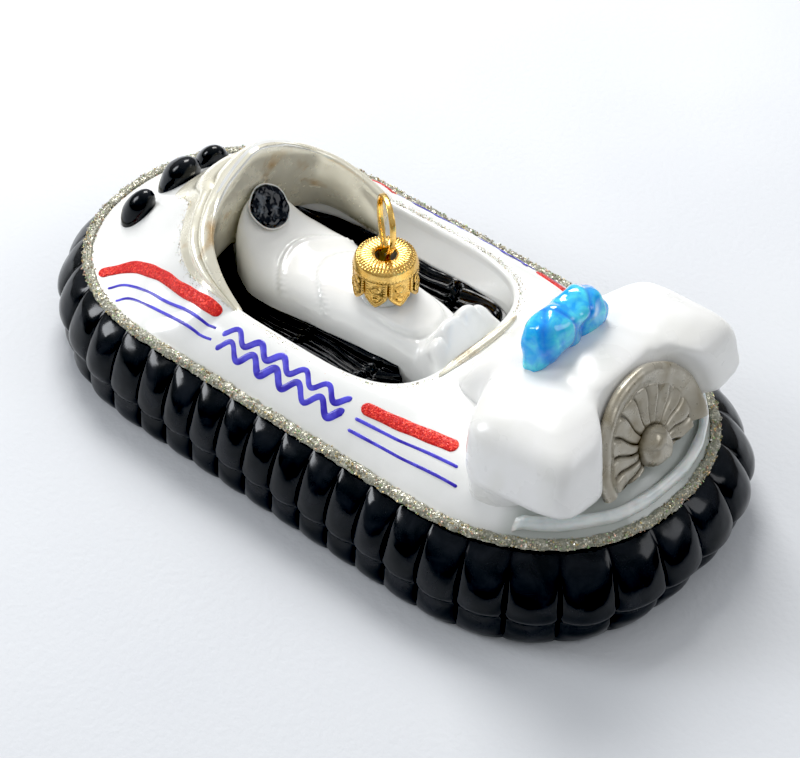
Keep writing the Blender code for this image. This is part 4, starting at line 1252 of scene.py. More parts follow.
@dataclass
class Fan:
    """The moulded fan on the leaning face of the stern: lip, blades and hub."""

    tilt: float = math.radians(24)
    centre: tuple[float, float, float] = (-51.2, 0.0, 23.2)
    cut: float = 2.2
    lip: tuple[float, float] = (9.3, 13.0)
    lip_height: float = 2.3
    lip_span: float = math.radians(8)
    blades: int = 18
    blade_radii: tuple[float, float] = (2.9, 10.3)
    blade_span: float = math.radians(32)
    lip_power: tuple[float, float] = (0.7, 0.6)
    blade_rise: float = 0.75
    hub: tuple = (
        (3.3, -0.2),
        (3.35, 0.8),
        (3.2, 1.5),
        (2.7, 2.2),
        (1.9, 2.65),
        (0.9, 2.85),
        (0.05, 2.9),
    )
    hub_seat: float = 0.3
    hub_around: int = 72

    def plane(self, z: Array | float) -> Array | float:
        """Where the fan's plane lies at a height."""
        return self.centre[0] + (z - self.centre[2]) * math.tan(self.tilt)

    def place(self, radius: Array, angle: Array, rise: Array) -> Array:
        """Points over the fan's plane, cut off level where the stern deck hides it.

        Args:
            radius: Distance from the hub's axis.
            angle: Turn from port, up over the hub.
            rise: Height over the plane.

        Returns:
            The points, with the coordinates last.
        """
        radius, angle, rise = np.broadcast_arrays(radius, angle, rise)
        down = np.maximum(-radius * np.sin(angle), 1e-6)
        radius = radius * np.minimum(1.0, self.cut / down)
        across, up = radius * np.cos(angle), radius * np.sin(angle)
        cos, sin = math.cos(self.tilt), math.sin(self.tilt)
        x = self.centre[0] + up * sin - rise * cos
        return np.stack([x, across, self.centre[2] + up * cos + rise * sin], -1)

    def ring(self) -> None:
        """The broad lip: a flat oval section carried round a little more than half a turn."""
        angle = np.linspace(-self.lip_span, math.pi + self.lip_span, 150)[:, None]
        around = np.linspace(0, 2 * np.pi, 36, endpoint=False)
        inner, outer = self.lip
        cos, sin = np.cos(around), np.sin(around)
        wide, tall = self.lip_power
        radius = (inner + outer) / 2 + (outer - inner) / 2 * np.sign(cos) * np.abs(cos) ** wide
        rise = self.lip_height * (0.5 + 0.5 * np.sign(sin) * np.abs(sin) ** tall)
        across = (radius - inner) / (outer - inner)
        rise = rise * (0.45 + 0.55 * ease(across / 0.75)) * (1 - 0.15 * across)
        rows = self.place(radius, angle, rise + 0.1)
        rows = lift(rows, 0.16 * ripple(rows, 5.0, 61), (False, True), rows - rows.mean(1)[:, None])
        # Painted shade: darker where the lip lies low over the fan's plane.
        shade = np.broadcast_to(0.5 * ease((1.2 - rise) / 1.0), rows.shape[:2])
        mesh = Shell().tube(rows, shade).mesh("fan_lip")
        add_piece("fan_lip", mesh, Palette.FAN, ["fan_ring"])

    def vanes(self) -> None:
        """The blades: radial ridges, each one higher on its leading side, with painted shade in the
        grooves.
        """
        angle = np.linspace(-self.blade_span, math.pi + self.blade_span, 460)
        inner, outer = self.blade_radii
        part = np.linspace(0, 1, 26)[:, None]
        radius = inner + (outer - inner) * part
        turn = self.blades * (angle + 0.04 * np.sin(2.2 * part * np.pi)) / (2 * np.pi)
        turn = turn + 0.12 * np.sin(3.1 * angle)
        phase = turn - np.floor(turn)
        ridge = np.clip(1 - np.abs(2 * phase - 1) ** 5, 0, 1)
        swell = ease(part / 0.16) * ease((1.02 - part) / 0.12)
        rise = 0.45 + (self.blade_rise * ridge + 0.4 * (phase - 0.5) * ridge) * swell
        grid = self.place(radius, angle, rise)
        # Painted shade: darker in the grooves between the blades and towards their ends.
        shade = np.clip(0.9 - 1.5 * ridge, 0, 1) * (0.3 + 0.6 * swell) + 0.3 * (1 - swell)
        back = self.place(radius, angle, 0.05)
        for at in (0, -1):
            back[at], back[:, at] = grid[at], grid[:, at]
        mesh = Shell().grid(grid, shade=np.clip(shade, 0, 1)).grid(back).mesh("fan_vanes", 80.0)
        add_piece("fan_vanes", mesh, Palette.FAN, ["fan_blades"])

    def boss(self) -> None:
        """The hub: a low dome with soft facets."""
        turn = np.arange(self.hub_around) * 2 * np.pi / self.hub_around
        radius, rise = resample(self.hub, 30).T[:, :, None]
        facet = 1 + 0.02 * np.cos(7 * turn + 3 * radius / 3.3)
        rows = self.place(radius * facet, turn, rise + self.hub_seat)
        rows = lift(rows, 0.09 * ripple(rows, 3.0, 71), (False, True), (-1.0, 0.0, 0.5))
        # Painted shade: darker towards the foot of the dome; thin dark lines also follow the noise over
        # it.
        shade = 0.3 * bell((ripple(rows, 3.5, 73)) / 0.1) + ease((1.0 - rise) / 1.2)
        mesh = Shell().tube(rows, np.clip(shade, 0, 1)).mesh("fan_boss")
        add_piece("fan_boss", mesh, Palette.FAN, ["fan_hub"])

    def build(self) -> None:
        """Builds the lip, the blades and the hub."""
        self.ring()
        self.vanes()
        self.boss()


@dataclass
class Stern:
    """The white hump that carries the fan, with its two arms blown out of it."""

    hump: tuple = (
        (23.9, -19.6, 9.6, 13.6),
        (26.0, -21.6, 9.4, 13.3),
        (28.5, -23.8, 9.0, 12.7),
        (31.0, -26.2, 8.4, 11.8),
        (33.4, -29.0, 7.6, 10.4),
        (35.0, -31.6, 6.2, 8.8),
        (35.9, -34.6, 4.4, 6.8),
    )
    hump_power: float = 7.0
    foot_z: float = 15.5
    arms: tuple = (
        (23.4, -27.0, -35.0, 24.0, -41.0, 22.8, -50.0),
        (24.8, -27.0, -34.8, 25.0, -52.2, 23.2, -53.6),
        (28.5, -27.4, -34.0, 24.2, -52.2, 23.3, -53.2),
        (31.6, -28.4, -33.2, 22.8, -51.6, 22.8, -52.0),
        (33.8, -33.8, -34.6, 20.6, -50.0, 21.2, -50.2),
        (35.2, -38.2, -38.6, 17.6, -46.6, 18.0, -47.2),
    )
    arm_power: float = 5.0
    around: int = 96
    crown: float = 0.5
    arm_overlap: float = 0.6
    fillet: float = 2.3
    voxel: float = 0.5

    def ring(self, corners: Array, power: float) -> Array:
        """Rounded four-cornered rings in plan: a superellipse on the square, carried over to the
        corners by a bilinear map.

        Args:
            corners: The four corners of each level, levels by four by two.
            power: The superellipse's power.

        Returns:
            The rings, levels by points by two.
        """
        t = np.arange(self.around) * 2 * np.pi / self.around
        cos, sin = np.cos(t), np.sin(t)
        scale = (np.abs(cos) ** power + np.abs(sin) ** power) ** (-1 / power)
        u, v = 0.5 + 0.5 * cos * scale, 0.5 + 0.5 * sin * scale
        weights = np.stack([(1 - u) * (1 - v), u * (1 - v), u * v, (1 - u) * v], -1)
        return np.einsum("pk,lkc->lpc", weights, corners)

    def rows(self, corners: Array, heights: Array, power: float, deck_gap: float) -> Array:
        """Levels of rings, from a foot buried in the deck up to a crowned top.

        Args:
            corners: The corners of each level.
            heights: The level's heights.
            power: Roundness of the rings.
            deck_gap: How far the lowest level stays over the deck.

        Returns:
            The rows.
        """
        plan = self.ring(corners, power)
        z = np.broadcast_to(heights[:, None], plan.shape[:2]).copy()
        deck = FORM.drop(plan)[..., 2]
        z = np.maximum(z, deck + deck_gap)
        foot = np.concatenate([plan[:1], np.full((1, self.around, 1), self.foot_z)], -1)
        rows = np.concatenate([plan, z[..., None]], -1)
        middle = rows[-1].mean(0)
        crown = [
            middle + (rows[-1] - middle) * share + (0, 0, self.crown * (1 - share * share))
            for share in (0.8, 0.5, 0.2)
        ]
        return np.vstack([foot, rows, np.array(crown)])

    def solid(self) -> Shell:
        """The hump and both arms as closed forms that run into each other.

        Returns:
            The shell of all three.
        """
        fan = Fan()
        z, front, near, far = resample(self.hump, 40).T
        back = fan.plane(z)
        corners = [(back, -far), (front, -near), (front, near), (back, far)]
        corners = np.array(corners).transpose(2, 0, 1)
        shell = Shell().tube(self.rows(corners, z, self.hump_power, 0.0))
        z, front, front_x, front_y, aft_x, aft_y, inner_x = resample(self.arms, 36).T
        levels = np.array(self.hump)
        sides = []
        for x in (inner_x, front):
            at = np.interp(z, levels[:, 0], levels[:, 1])
            near, far = (np.interp(z, levels[:, 0], levels[:, k]) for k in (2, 3))
            lean = (far - near) * (x - at) / (fan.plane(z) - at)
            sides.append((x, near + lean - self.arm_overlap))
        corners = np.array([*sides, (front_x, front_y), (aft_x, aft_y)]).transpose(2, 0, 1)
        for side in Side:
            rows = self.rows(corners * (1, side.value), z, self.arm_power, 0.2)
            shell.tube(rows)
        return shell

    def build(self) -> None:
        """Builds the stern: the forms are swelled, made one skin and shrunk again, which leaves
        a round fillet in each valley, and then smoothed."""
        rough = bpy.data.objects.new("stern_rough", self.solid().mesh("stern_rough"))
        bpy.context.scene.collection.objects.link(rough)
        for grow, voxel in ((self.fillet, self.voxel), (-self.fillet, self.voxel * 0.9)):
            swell = rough.modifiers.new("swell", "DISPLACE")
            swell.strength, swell.mid_level = grow * MM, 0.0
            skin = rough.modifiers.new("skin", "REMESH")
            skin.mode, skin.voxel_size = "VOXEL", voxel * MM
            soft = rough.modifiers.new("soft", "SMOOTH")
            soft.factor, soft.iterations = 0.5, 6
        found = rough.evaluated_get(bpy.context.evaluated_depsgraph_get())
        mesh = bpy.data.meshes.new_from_object(found)
        mesh.name = "stern_body"
        bpy.data.objects.remove(rough)
        mesh.shade_smooth()
        nodes = ["stern_fairing", "arm_port", "arm_starboard"]
        add_piece("stern_body", mesh, Palette.PEARL, nodes)


@dataclass
class LightBar:
    """The blue light: two lobes with a notch between them, lumpy as poured glass."""

    x: float = -34.2
    half: tuple = (
        (0.0, 3.1, 6.3),
        (1.2, 3.15, 6.4),
        (2.6, 3.3, 6.8),
        (4.3, 3.3, 6.9),
        (6.1, 3.1, 6.3),
        (7.6, 2.4, 4.7),
        (8.5, 1.1, 2.5),
    )
    sink: float = 0.6
    hump_z: float = 35.6
    hump_fall: tuple[float, float] = (0.12, 0.012)
    roundness: float = 0.7
    lumps: float = 0.4
    folds: float = 0.3
    fold_width: float = 3.2

    def build(self) -> None:
        """Builds the light: superellipse sections along it, set on the hump, with folds that run
        down over it where the noise changes its sign."""
        table = np.array(self.half)
        table = np.vstack([table[:0:-1] * (-1, 1, 1), table])
        y, depth, height = resample(table, 130).T[:, :, None]
        a = np.linspace(0, 2 * np.pi, 72, endpoint=False)
        cos, sin = np.cos(a), np.sin(a)
        x = self.x + depth * np.sign(cos) * np.abs(cos) ** self.roundness
        base = self.hump_z - self.hump_fall[1] * y**2 - self.hump_fall[0] * np.abs(x - self.x)
        upright = 0.5 + 0.5 * np.sign(sin) * np.abs(sin) ** self.roundness
        z = base - self.sink + (height + self.sink) * upright
        rows = np.stack([x, np.broadcast_to(y, x.shape), z], -1)
        fold = np.abs(ripple(rows * (0.7, 0.9, 0.6), 6.5, 87))
        crease = np.clip(1 - fold * self.fold_width, 0, 1)
        amount = self.lumps * ripple(rows, 4.0, 81) - self.folds * crease**1.5
        amount = amount * ease(height / 4)
        rows = lift(rows, amount, (False, True), rows - rows.mean(1)[:, None])
        # Painted shade: deeper blue in the folds.
        mesh = Shell().tube(rows, 0.75 * crease).mesh("light_glass")
        add_piece("light_glass", mesh, Palette.BLUE, ["light_bar"])


@dataclass
class Curb:
    """The pale raised curb round the stern deck."""

    start_x: float = -43.0
    inset: tuple[float, float] = (2.1, 0.5)
    top_z: float = 20.2

    def build(self) -> None:
        """Builds the curb: a half-round section carried along the deck's edge, low at its ends."""
        points, normals = FORM.edge(900)
        stern = points[:, 0] < self.start_x
        points, normals = points[stern], normals[stern]
        along = np.linspace(-1, 1, len(points))
        low = ease((1 - np.abs(along)) / 0.08)[:, None]
        turn = np.linspace(0, 2 * np.pi, 28, endpoint=False)
        inner, outer = self.inset
        offset = (inner + outer) / 2 + (inner - outer) / 2 * np.cos(turn)
        plan = points[:, None] - normals[:, None] * offset[:, None]
        deck = FORM.drop(plan)[..., 2]
        crest = 0.5 + 0.5 * np.sin(turn)
        z = deck - 0.3 + (self.top_z - deck + 0.3) * crest**0.8 * low
        rows = np.concatenate([plan, z[..., None]], -1)
        rows = lift(rows, 0.13 * ripple(rows, 6.0, 91), (False, True), rows - rows.mean(1)[:, None])
        mesh = Shell().tube(rows).mesh("stern_curb")
        add_piece("stern_curb", mesh, Palette.FROST, ["stern_rail"])


@dataclass
class Stroke:
    """One brush stroke on the skin.

    The path is a curve in plan. The stroke is a leaf across it, as wide as the brush, that
    follows the skin and is thickest in its middle.
    """

    path: tuple
    width: float
    thick: float = 0.11
    steps: int = 90
    across: int = 9
    starboard_shift: float = 1.5
    shift_x: float = 40.0
    shift_length: float = 10.0

    def grid(self, side: Side) -> tuple[Array, Array]:
        """The leaf on the skin, with its thickness.

        Args:
            side: The side of the craft that it is painted on.

        Returns:
            The grid and the height at each of its points.
        """
        plan = resample(self.path, self.steps)
        if side is Side.STARBOARD:
            aft = ease((self.shift_x - plan[:, 0]) / self.shift_length)
            plan[:, 1] += self.starboard_shift * aft
        spine = FORM.drop(plan * (1, side.value))
        along = np.gradient(spine, axis=0)
        length = np.linalg.norm(along, axis=1, keepdims=True)
        along /= length
        travelled = np.cumsum(length) - length[0]
        ends = np.minimum(travelled, travelled[-1] - travelled) / (self.width / 2)
        round_end = np.sqrt(np.clip(1 - (1 - np.clip(ends, 0.02, 1)) ** 2, 0, 1))
        slope = FORM.drop(spine[:, :2] + along[:, 1::-1] * (0.4, -0.4)) - spine
        aside = np.cross(np.cross(along, slope), along)
        aside /= np.linalg.norm(aside, axis=1, keepdims=True)
        v = np.linspace(-1, 1, self.across)
        wavy = 1 + 0.1 * ripple(spine, 5.0, 95)
        half = (self.width / 2 * round_end * wavy)[:, None, None]
        points = spine[:, None] + aside[:, None] * v[:, None] * half
        points = FORM.drop(points[..., :2])
        height = 0.04 + self.thick * np.sqrt(1 - 0.9 * v**2) * round_end[:, None]
        return points, height


@dataclass
class Paintwork:
    """The stripes and lines on the topsides, and a band of painted waves between them."""

    red: tuple = (
        (
            (45.4, 21.9),
            (43.6, 20.3),
            (39.9, 18.7),
            (33.2, 19.2),
            (27.5, 20.2),
            (22.4, 20.9),
            (17.7, 20.9),
        ),
        ((-12.6, 21.4), (-17.6, 20.7), (-22.9, 19.9), (-29.6, 18.9)),
    )
    red_width: float = 2.3
    lines: tuple = (
        ((41.4, 23.6), (39.0, 21.9), (33.3, 21.7), (26.6, 22.4), (20.4, 22.9), (16.9, 22.7)),
        ((38.2, 25.0), (36.3, 23.6), (31.6, 23.4), (24.9, 24.1), (19.3, 24.3), (16.7, 24.1)),
        ((-12.7, 23.1), (-19.1, 22.5), (-25.6, 21.8), (-31.6, 21.3)),
        ((-12.5, 24.6), (-20.6, 24.1), (-27.2, 23.7), (-33.2, 23.4)),
    )
    line_width: float = 0.55
    waves: tuple = ((22.15, 1.15), (23.95, 1.3))
    wave_ends: tuple[float, float] = (15.6, -10.6)
    wave_swing: float = 0.75
    wave_turns: float = 5.5
    wave_samples: int = 120

    def layer(self, name: str, strokes: list[Stroke], finish: Palette, slot: str) -> None:
        """Makes one piece of strokes, painted on both sides.

        Args:
            name: Name of the piece.
            strokes: The strokes of the port side.
            finish: Their paint.
            slot: The record's material slot; not used.
        """
        shell = Shell()
        for side in Side:
            for stroke in strokes:
                points, height = stroke.grid(side)
                shell.blister(points, height, -0.01)
        add_piece(name, shell.mesh(name), finish)

    def build(self) -> None:
        """Builds the red stripes, the blue lines and the waves."""
        red = [Stroke(path, self.red_width, 0.2, 130, 13) for path in self.red]
        self.layer("red_stripes", red, Palette.RED, "glitter")
        lines = [Stroke(path, self.line_width, 0.06) for path in self.lines]
        self.layer("blue_lines", lines, Palette.INK, "blue_lacquer")
        at = np.linspace(0, 1, self.wave_samples)
        first, last = self.wave_ends
        waves = []
        for middle, width in self.waves:
            y = middle + self.wave_swing * np.cos(2 * np.pi * self.wave_turns * at)
            path = tuple(zip(first + (last - first) * at, y))
            waves.append(Stroke(path, width, 0.08, 320))
        self.layer("blue_waves", waves, Palette.INK, "blue_lacquer")


@dataclass
class Glitter:
    """Loose glitter: flattened eight-sided grains, each turned and tinted at random."""

    tints: tuple = (
        (0.86, 0.78, 0.56),
        (0.93, 0.9, 0.82),
        (0.55, 0.78, 0.42),
        (0.88, 0.55, 0.42),
        (0.8, 0.62, 0.28),
        (0.7, 0.66, 0.52),
    )
    odds: tuple = (0.24, 0.24, 0.15, 0.11, 0.14, 0.12)
    brightness: tuple[float, float] = (0.35, 1.25)
    grain_height: float = 0.45
    bead: tuple = (
        (0.25, 16.1),
        (1.5, 16.1),
        (1.55, 16.6),
        (1.15, 17.1),
        (0.65, 17.15),
        (0.05, 17.0),
    )
    bead_middle: tuple[float, float] = (0.8, 16.6)
    seam_count: int = 7400
    rim_count: int = 1500
    cowl_count: int = 760

    def grains(self, name: str, places: Array, sizes: tuple[float, float], seed: int) -> None:
        """Scatters grains.

        Args:
            name: Name of the piece.
            places: Their middles.
            sizes: The smallest and the largest radius.
            seed: Start of the random draws.
        """
        draw = np.random.default_rng(seed)
        count = len(places)
        turn = draw.normal(size=(count, 4))
        turn /= np.linalg.norm(turn, axis=1, keepdims=True)
        w, x, y, z = turn.T
        spin = np.array(
            [
                [1 - 2 * (y * y + z * z), 2 * (x * y - z * w), 2 * (x * z + y * w)],
                [2 * (x * y + z * w), 1 - 2 * (x * x + z * z), 2 * (y * z - x * w)],
                [2 * (x * z - y * w), 2 * (y * z + x * w), 1 - 2 * (x * x + y * y)],
            ]
        )
        square = [(1, 0, 0), (0, 1, 0), (-1, 0, 0), (0, -1, 0)]
        corners = np.array([*square, (0, 0, self.grain_height), (0, 0, -self.grain_height)])
        size = draw.uniform(*sizes, count)[:, None, None]
        points = places[:, None] + np.einsum("abn,kb->nka", spin, corners) * size
        k = np.arange(4)
        ring = np.column_stack([k, (k + 1) % 4])
        upper = np.column_stack([ring, np.full(4, 4)])
        lower = np.column_stack([ring[:, ::-1], np.full(4, 5)])
        faces = np.vstack([upper, lower])
        faces = (faces + 6 * np.arange(count)[:, None, None]).reshape(-1, 3)
        mesh = bpy.data.meshes.new(name)
        mesh.from_pydata((points.reshape(-1, 3) * MM).tolist(), [], faces.tolist())
        tint = np.array(self.tints)[draw.choice(len(self.tints), count, p=self.odds)]
        tint = tint * draw.uniform(*self.brightness, (count, 1))
        tint = np.column_stack([tint, np.ones(count)])
        layer = mesh.attributes.new("tint", "FLOAT_COLOR", "POINT")
        layer.data.foreach_set("color", np.repeat(tint, 6, 0).astype(np.float32).reshape(-1))
        add_piece(name, mesh, Palette.FLAKES)

    def seam(self) -> None:
        """The bead of glue along the deck's edge, and the grains that stick to it."""
        points, normals = FORM.edge(900)
        offset, z = resample(self.bead + self.bead[:1], 22)[:-1].T[:, :, None]
        plan = points + normals * offset[..., None]
        rows = np.concatenate([plan, np.broadcast_to(z, (*plan.shape[:2], 1)[:2])[..., None]], -1)
        lumps = 0.16 * ripple(rows, 2.6, 101) + 0.1 * ripple(rows, 1.1, 103)
        out, level = self.bead_middle
        middle = np.concatenate([points + normals * out, np.full((len(points), 1), level)], -1)
        rows = lift(rows, lumps, (True, True), rows - middle)
        mesh = Shell().grid(rows, (True, True)).mesh("glitter_bead")
        add_piece("glitter_bead", mesh, Palette.GLUE, ["deck_bead"])
        draw = np.random.default_rng(105)
        count = self.seam_count
        at = draw.integers(0, len(points), count)
        swing = draw.uniform(-0.5, math.pi + 0.5, count)
        out = out + 0.78 * np.cos(swing) + draw.normal(0, 0.14, count)
        plan = points[at] + normals[at] * out[:, None]
        height = level + 0.55 * np.sin(swing) + draw.normal(0, 0.07, count)
        self.grains("seam_glitter", np.column_stack([plan, height]), (0.1, 0.27), 107)

    def crest(self) -> None:
        """Sparse grains along the cockpit's rim and along the outer edge of the cowl."""
        draw = np.random.default_rng(111)
        count = self.rim_count
        angle = draw.uniform(math.radians(58), math.radians(158), count) * draw.choice([-1, 1], count)
        width = FORM.reach(angle) - FORM.rim(angle)
        share = 1.0 - np.abs(draw.normal(0, 0.5, count)) / width
        places = [FORM.skin(angle, share)]
        count = self.cowl_count
        angle = draw.uniform(math.radians(12), math.radians(61), count) * draw.choice([-1, 1], count)
        share = FORM.cowl_start(angle) + draw.normal(-0.005, 0.022, count)
        places.append(FORM.skin(angle, share))
        places = np.vstack(places) + (0, 0, 0.06)
        self.grains("crest_glitter", places, (0.05, 0.12), 113)

    def build(self) -> None:
        """Builds the seam and the crest."""
        self.seam()
        self.crest()


@dataclass
class Cap:
    """The stamped gold cap and its wire loop, on the axis of the neck."""

    x: float = 1.0
    radius: float = 5.25
    wall: float = 0.4
    top_z: float = 32.0
    tip_z: float = 25.0
    prong_z: float = 29.6
    notch: float = 1.9
    prongs: int = 8
    steps: int = 44
    hole: float = 1.8
    dome: tuple = (
        (1.8, 31.9),
        (2.2, 32.06),
        (3.4, 32.12),
        (4.2, 31.98),
        (4.75, 31.7),
        (5.05, 31.25),
        (5.2, 30.6),
    )
    bead_rows: tuple = (2.35, 2.9, 3.45, 4.0, 4.6)
    bead_gap: float = 0.56
    rosettes: tuple = ((28.5, 0.5), (26.7, 0.25))
    collar_z: float = 30.1
    inside: tuple = ((0.0, 28.0), (0.0, 31.0), (0.5, 31.55))
    loop_turn: float = math.radians(145)
    loop_half: tuple = (
        (2.6, 27.6),
        (2.7, 30.2),
        (2.3, 30.8),
        (1.25, 31.3),
        (1.2, 32.6),
        (2.4, 34.2),
        (3.7, 36.4),
        (4.1, 38.6),
        (3.6, 40.6),
        (2.2, 42.1),
    )
    loop_top: float = 42.6
    wire: tuple[float, float] = (0.27, 0.5)

    def about_axis(self, radius: Array, turn: Array, height: Array) -> Array:
        """Points at a radius, a turn and a height about the neck's axis."""
        x, y = self.x + radius * np.cos(turn), radius * np.sin(turn)
        return np.stack(np.broadcast_arrays(x, y, height), -1)

    def shell(self) -> None:
        """The cap: a turned profile whose skirt is cut into pointed prongs. The top has rings of
        beads, and each prong a roped border, two rosettes and a leaf."""
        count = self.prongs * self.steps
        turn = np.arange(count) * 2 * np.pi / count
        side = 2 * (np.arange(count) % self.steps) / self.steps - 1
        tips = self.tip_z + self.notch * np.abs(side) ** 1.4
        radius, z = resample(self.dome, 58).T[:, :, None]
        beads = sum(
            bell((radius - r) / 0.3)
            * np.clip(np.cos(turn * round(2 * np.pi * r / self.bead_gap)), 0, 1)
            for r in self.bead_rows
        )
        top = self.about_axis(radius + 0.12 * beads * ease((radius - 4.2) / 1.0), turn, z + 0.14 * beads)
        down = np.linspace(0, 1, 64)[1:, None]
        start = self.dome[-1][1]
        z = start + (tips - start) * down
        rope = bell((np.abs(side) - 0.78) / 0.1) * (0.6 + 0.4 * np.cos(z * 2 * np.pi / 0.5))
        rope = rope + bell(side / 0.1) * 0.2
        tip = z - tips
        border = bell((tip - 0.35) / 0.25)
        rose = sum(
            bell(((side * 2.0) ** 2 + (z - at) ** 2 - size) / 0.25) for at, size in self.rosettes
        )
        collar = bell((z - self.collar_z) / 0.22) * (0.6 + 0.4 * np.cos(turn * 60))
        slit = ease((self.prong_z - z) / 0.6) * bell((np.abs(side) - 1.0) / 0.06)
        emboss = 0.17 * (rope * ease((self.prong_z + 0.4 - z) / 0.4) + border + rose + collar)
        flare = 0.12 * ease((27.5 - z) / 2.5)
        outer = self.about_axis(self.radius - 0.03 + emboss - 0.4 * slit + flare, turn, z)
        inner_r = self.radius - self.wall
        inner = [self.about_axis(inner_r + 0.1 - 0.4 * slit[-1], turn, tips)]
        inner += [self.about_axis(inner_r - inset, turn, level) for inset, level in self.inside]
        inner.append(self.about_axis(self.hole, turn, self.inside[-1][1]))
        rows = np.vstack([top, outer, np.array(inner)])
        shade = np.zeros(rows.shape[:2])
        # Painted shade between the beads across the top.
        shade[: len(top)] = 0.25 * (1 - np.clip(beads, 0, 1)) * ease((4.9 - radius) / 0.5)
        # Painted shade on the prongs: darker off the embossing and in the slits.
        recess_shade = np.clip(0.22 - 1.6 * emboss + 0.7 * slit, 0, 1) * ease((30.3 - z) / 0.6)
        shade[len(top) : len(top) + len(outer)] = recess_shade
        # Painted shade inside the cap.
        shade[len(top) + len(outer) :] = 0.7
        mesh = Shell().grid(rows, (True, True), shade).mesh("cap_shell", 70.0)
        add_piece("cap_shell", mesh, Palette.GOLD, ["cap"], Body.CAP)

    def loop(self) -> None:
        """The loop: a flat wire section carried along a curve in one upright plane."""
        half = np.array(self.loop_half)
        whole = np.vstack([half, [(0.0, self.loop_top)], half[::-1] * (-1, 1)])
        path = resample(whole, 200)
        along = np.gradient(path, axis=0)
        along /= np.linalg.norm(along, axis=1, keepdims=True)
        heading = np.array([math.cos(self.loop_turn), math.sin(self.loop_turn), 0.0])
        aside = np.array([-heading[1], heading[0], 0.0])
        spine = np.array([self.x, 0, 0]) + path[:, :1] * heading + path[:, 1:] * (0, 0, 1)
        normal = -along[:, 1:] * heading + along[:, :1] * (0, 0, 1)
        a = np.linspace(0, 2 * np.pi, 20, endpoint=False)
        thin, wide = self.wire
        cos, sin = (np.sign(f(a)) * np.abs(f(a)) ** 0.7 for f in (np.cos, np.sin))
        rows = spine[:, None] + normal[:, None] * (thin * cos)[:, None]
        rows = rows + aside * (wide * sin)[:, None]
        mesh = Shell().tube(rows).mesh("wire_loop")
        add_piece("wire_loop", mesh, Palette.GOLD, ["hanger_loop"], Body.LOOP)

    def build(self) -> None:
        """Builds the cap and the loop."""
        self.shell()
        self.loop()


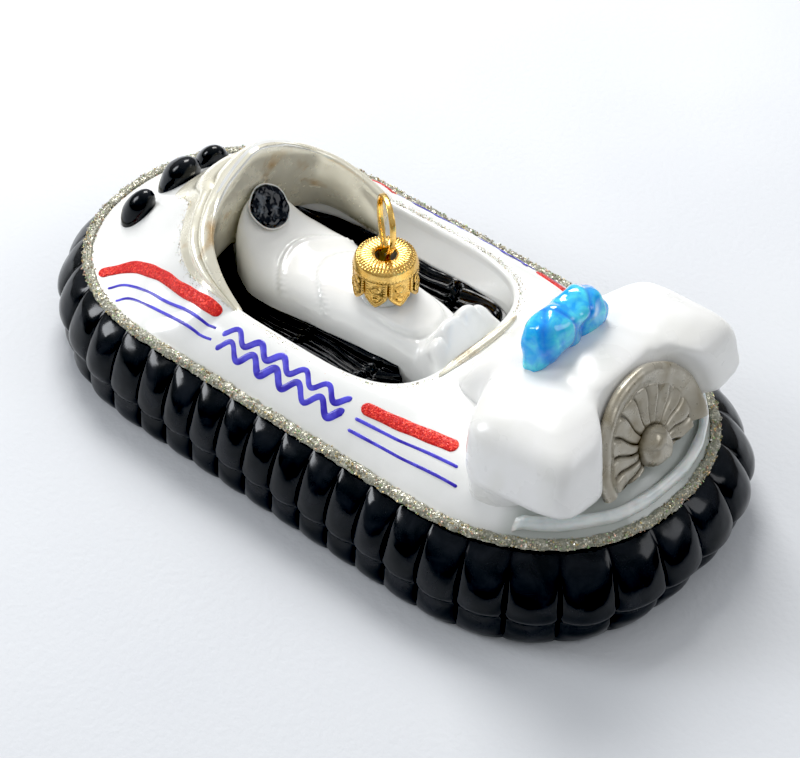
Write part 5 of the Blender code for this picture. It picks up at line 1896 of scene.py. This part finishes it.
@dataclass
class Studio:
    """The pale floor, the soft lights and the camera."""

    floor_half: float = 3.0
    floor_tones: tuple[Colour, Colour] = ((0.69, 0.71, 0.745), (0.72, 0.74, 0.77))
    camera_at: tuple[float, float, float] = (-0.16848, 0.20308, 0.25196)
    looks: tuple[float, float, float] = (0.4622, -0.5657, -0.6829)
    roll: float = math.radians(1.46)
    lens: float = 97.18
    lamps: tuple = (
        ("key", (0.27, -0.22, 0.42), 0.24, 2.3, (1.0, 0.99, 0.97)),
        ("fill", (0.42, 0.27, 0.28), 0.18, 1.0, (0.93, 0.96, 1.0)),
        ("back", (-0.5, -0.3, 0.4), 0.3, 0.55, (0.95, 0.97, 1.0)),
    )
    aim: tuple[float, float, float] = (0.0, 0.0, 0.02)
    sky: tuple = (
        (0.0, (0.5, 0.5, 0.52)),
        (0.5, (0.4, 0.37, 0.32)),
        (0.6, (0.62, 0.62, 0.62)),
        (0.75, (0.85, 0.88, 0.92)),
        (1.0, (1.0, 1.0, 1.0)),
    )
    sky_strength: float = 0.55
    black_level: float = 0.016

    def floor(self) -> None:
        """A plain sheet of pale cloth, wide enough to fill every view."""
        mesh = bpy.data.meshes.new("floor")
        half = self.floor_half
        corners = [(-half, -half, 0), (half, -half, 0), (half, half, 0), (-half, half, 0)]
        mesh.from_pydata(corners, [], [(0, 1, 2, 3)])
        floor = bpy.data.objects.new("floor", mesh)
        bpy.context.scene.collection.objects.link(floor)
        sheet = Sheet("pale_cloth")
        cloud = sheet.span(sheet.noise(60.0, 2.0), 0.35, 0.65, (0, 1))
        weave = sheet.bump(sheet.noise(1.2, 2.0), 0.1)
        colour = sheet.mix(cloud, *self.floor_tones)
        mesh.materials.append(sheet.finish(Base_Color=colour, Roughness=0.85, Normal=weave))

    def sky_nodes(self) -> None:
        """The room round the table: bright above, dim along the walls."""
        world = bpy.data.worlds.new("room")
        world.use_nodes = True
        bpy.context.scene.world = world
        tree = world.node_tree
        back = tree.nodes["Background"]
        place = tree.nodes.new("ShaderNodeTexCoord")
        split = tree.nodes.new("ShaderNodeSeparateXYZ")
        height = tree.nodes.new("ShaderNodeMapRange")
        ramp = tree.nodes.new("ShaderNodeValToRGB")
        height.inputs["From Min"].default_value = -1.0
        stops = ramp.color_ramp.elements
        while len(stops) < len(self.sky):
            stops.new(0.5)
        for stop, (at, colour) in zip(stops, self.sky):
            stop.position, stop.color = at, (*colour, 1.0)
        tree.links.new(place.outputs["Generated"], split.inputs[0])
        tree.links.new(split.outputs["Z"], height.inputs["Value"])
        tree.links.new(height.outputs["Result"], ramp.inputs["Fac"])
        tree.links.new(ramp.outputs["Color"], back.inputs["Color"])
        back.inputs["Strength"].default_value = self.sky_strength

    def lights(self) -> None:
        """The soft boxes, each turned to the object."""
        for name, at, size, power, colour in self.lamps:
            data = bpy.data.lights.new(name, "AREA")
            data.size, data.energy, data.color = size, power, colour
            lamp = bpy.data.objects.new(name, data)
            lamp.location = at
            towards = Vector(self.aim) - Vector(at)
            lamp.rotation_euler = towards.to_track_quat("-Z", "Y").to_euler()
            bpy.context.scene.collection.objects.link(lamp)

    def camera(self) -> None:
        """The camera, where the photographer held it."""
        forward = Vector(self.looks).normalized()
        level = forward.cross(Vector((0, 0, 1))).normalized()
        upright = level.cross(forward)
        right = math.cos(self.roll) * level + math.sin(self.roll) * upright
        up = math.cos(self.roll) * upright - math.sin(self.roll) * level
        data = bpy.data.cameras.new("camera")
        data.lens, data.sensor_width, data.sensor_fit = self.lens, 36.0, "HORIZONTAL"
        data.clip_start, data.clip_end = 0.01, 20.0
        camera = bpy.data.objects.new("camera", data)
        turn = Matrix((right, up, -forward)).transposed().to_4x4()
        camera.matrix_world = Matrix.Translation(self.camera_at) @ turn
        bpy.context.scene.collection.objects.link(camera)
        bpy.context.scene.camera = camera

    def build(self) -> None:
        """Sets up the studio."""
        view = bpy.context.scene.view_settings
        view.view_transform = "Standard"
        view.use_curve_mapping = True
        view.curve_mapping.black_level = (self.black_level,) * 3
        view.curve_mapping.update()
        self.floor()
        self.sky_nodes()
        self.lights()
        self.camera()


def dress_nodes(nodes: dict[str, bpy.types.Object]) -> None:
    """Gives the CAD nodes that stay in view their finish.

    Args:
        nodes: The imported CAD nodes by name.
    """
    for name, finish in (("underside", Palette.BLACK), ("neck", Palette.FROST)):
        materials = nodes[name].data.materials
        materials.clear()
        materials.append(finish.value.make(name + "_finish"))


def main() -> None:
    """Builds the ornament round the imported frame."""
    logging.basicConfig(level=logging.INFO, format="%(message)s")
    for thing in list(bpy.data.objects):
        bpy.data.objects.remove(thing)
    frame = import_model()
    Studio().build()
    parts = (Hull, Skirt, Knobs, Console, Footwells, Stern, Fan, LightBar, Curb)
    for part in (*parts, Paintwork, Glitter, Cap):
        part().build()
    dress_nodes(frame["nodes"])


if __name__ == "__main__":
    main()
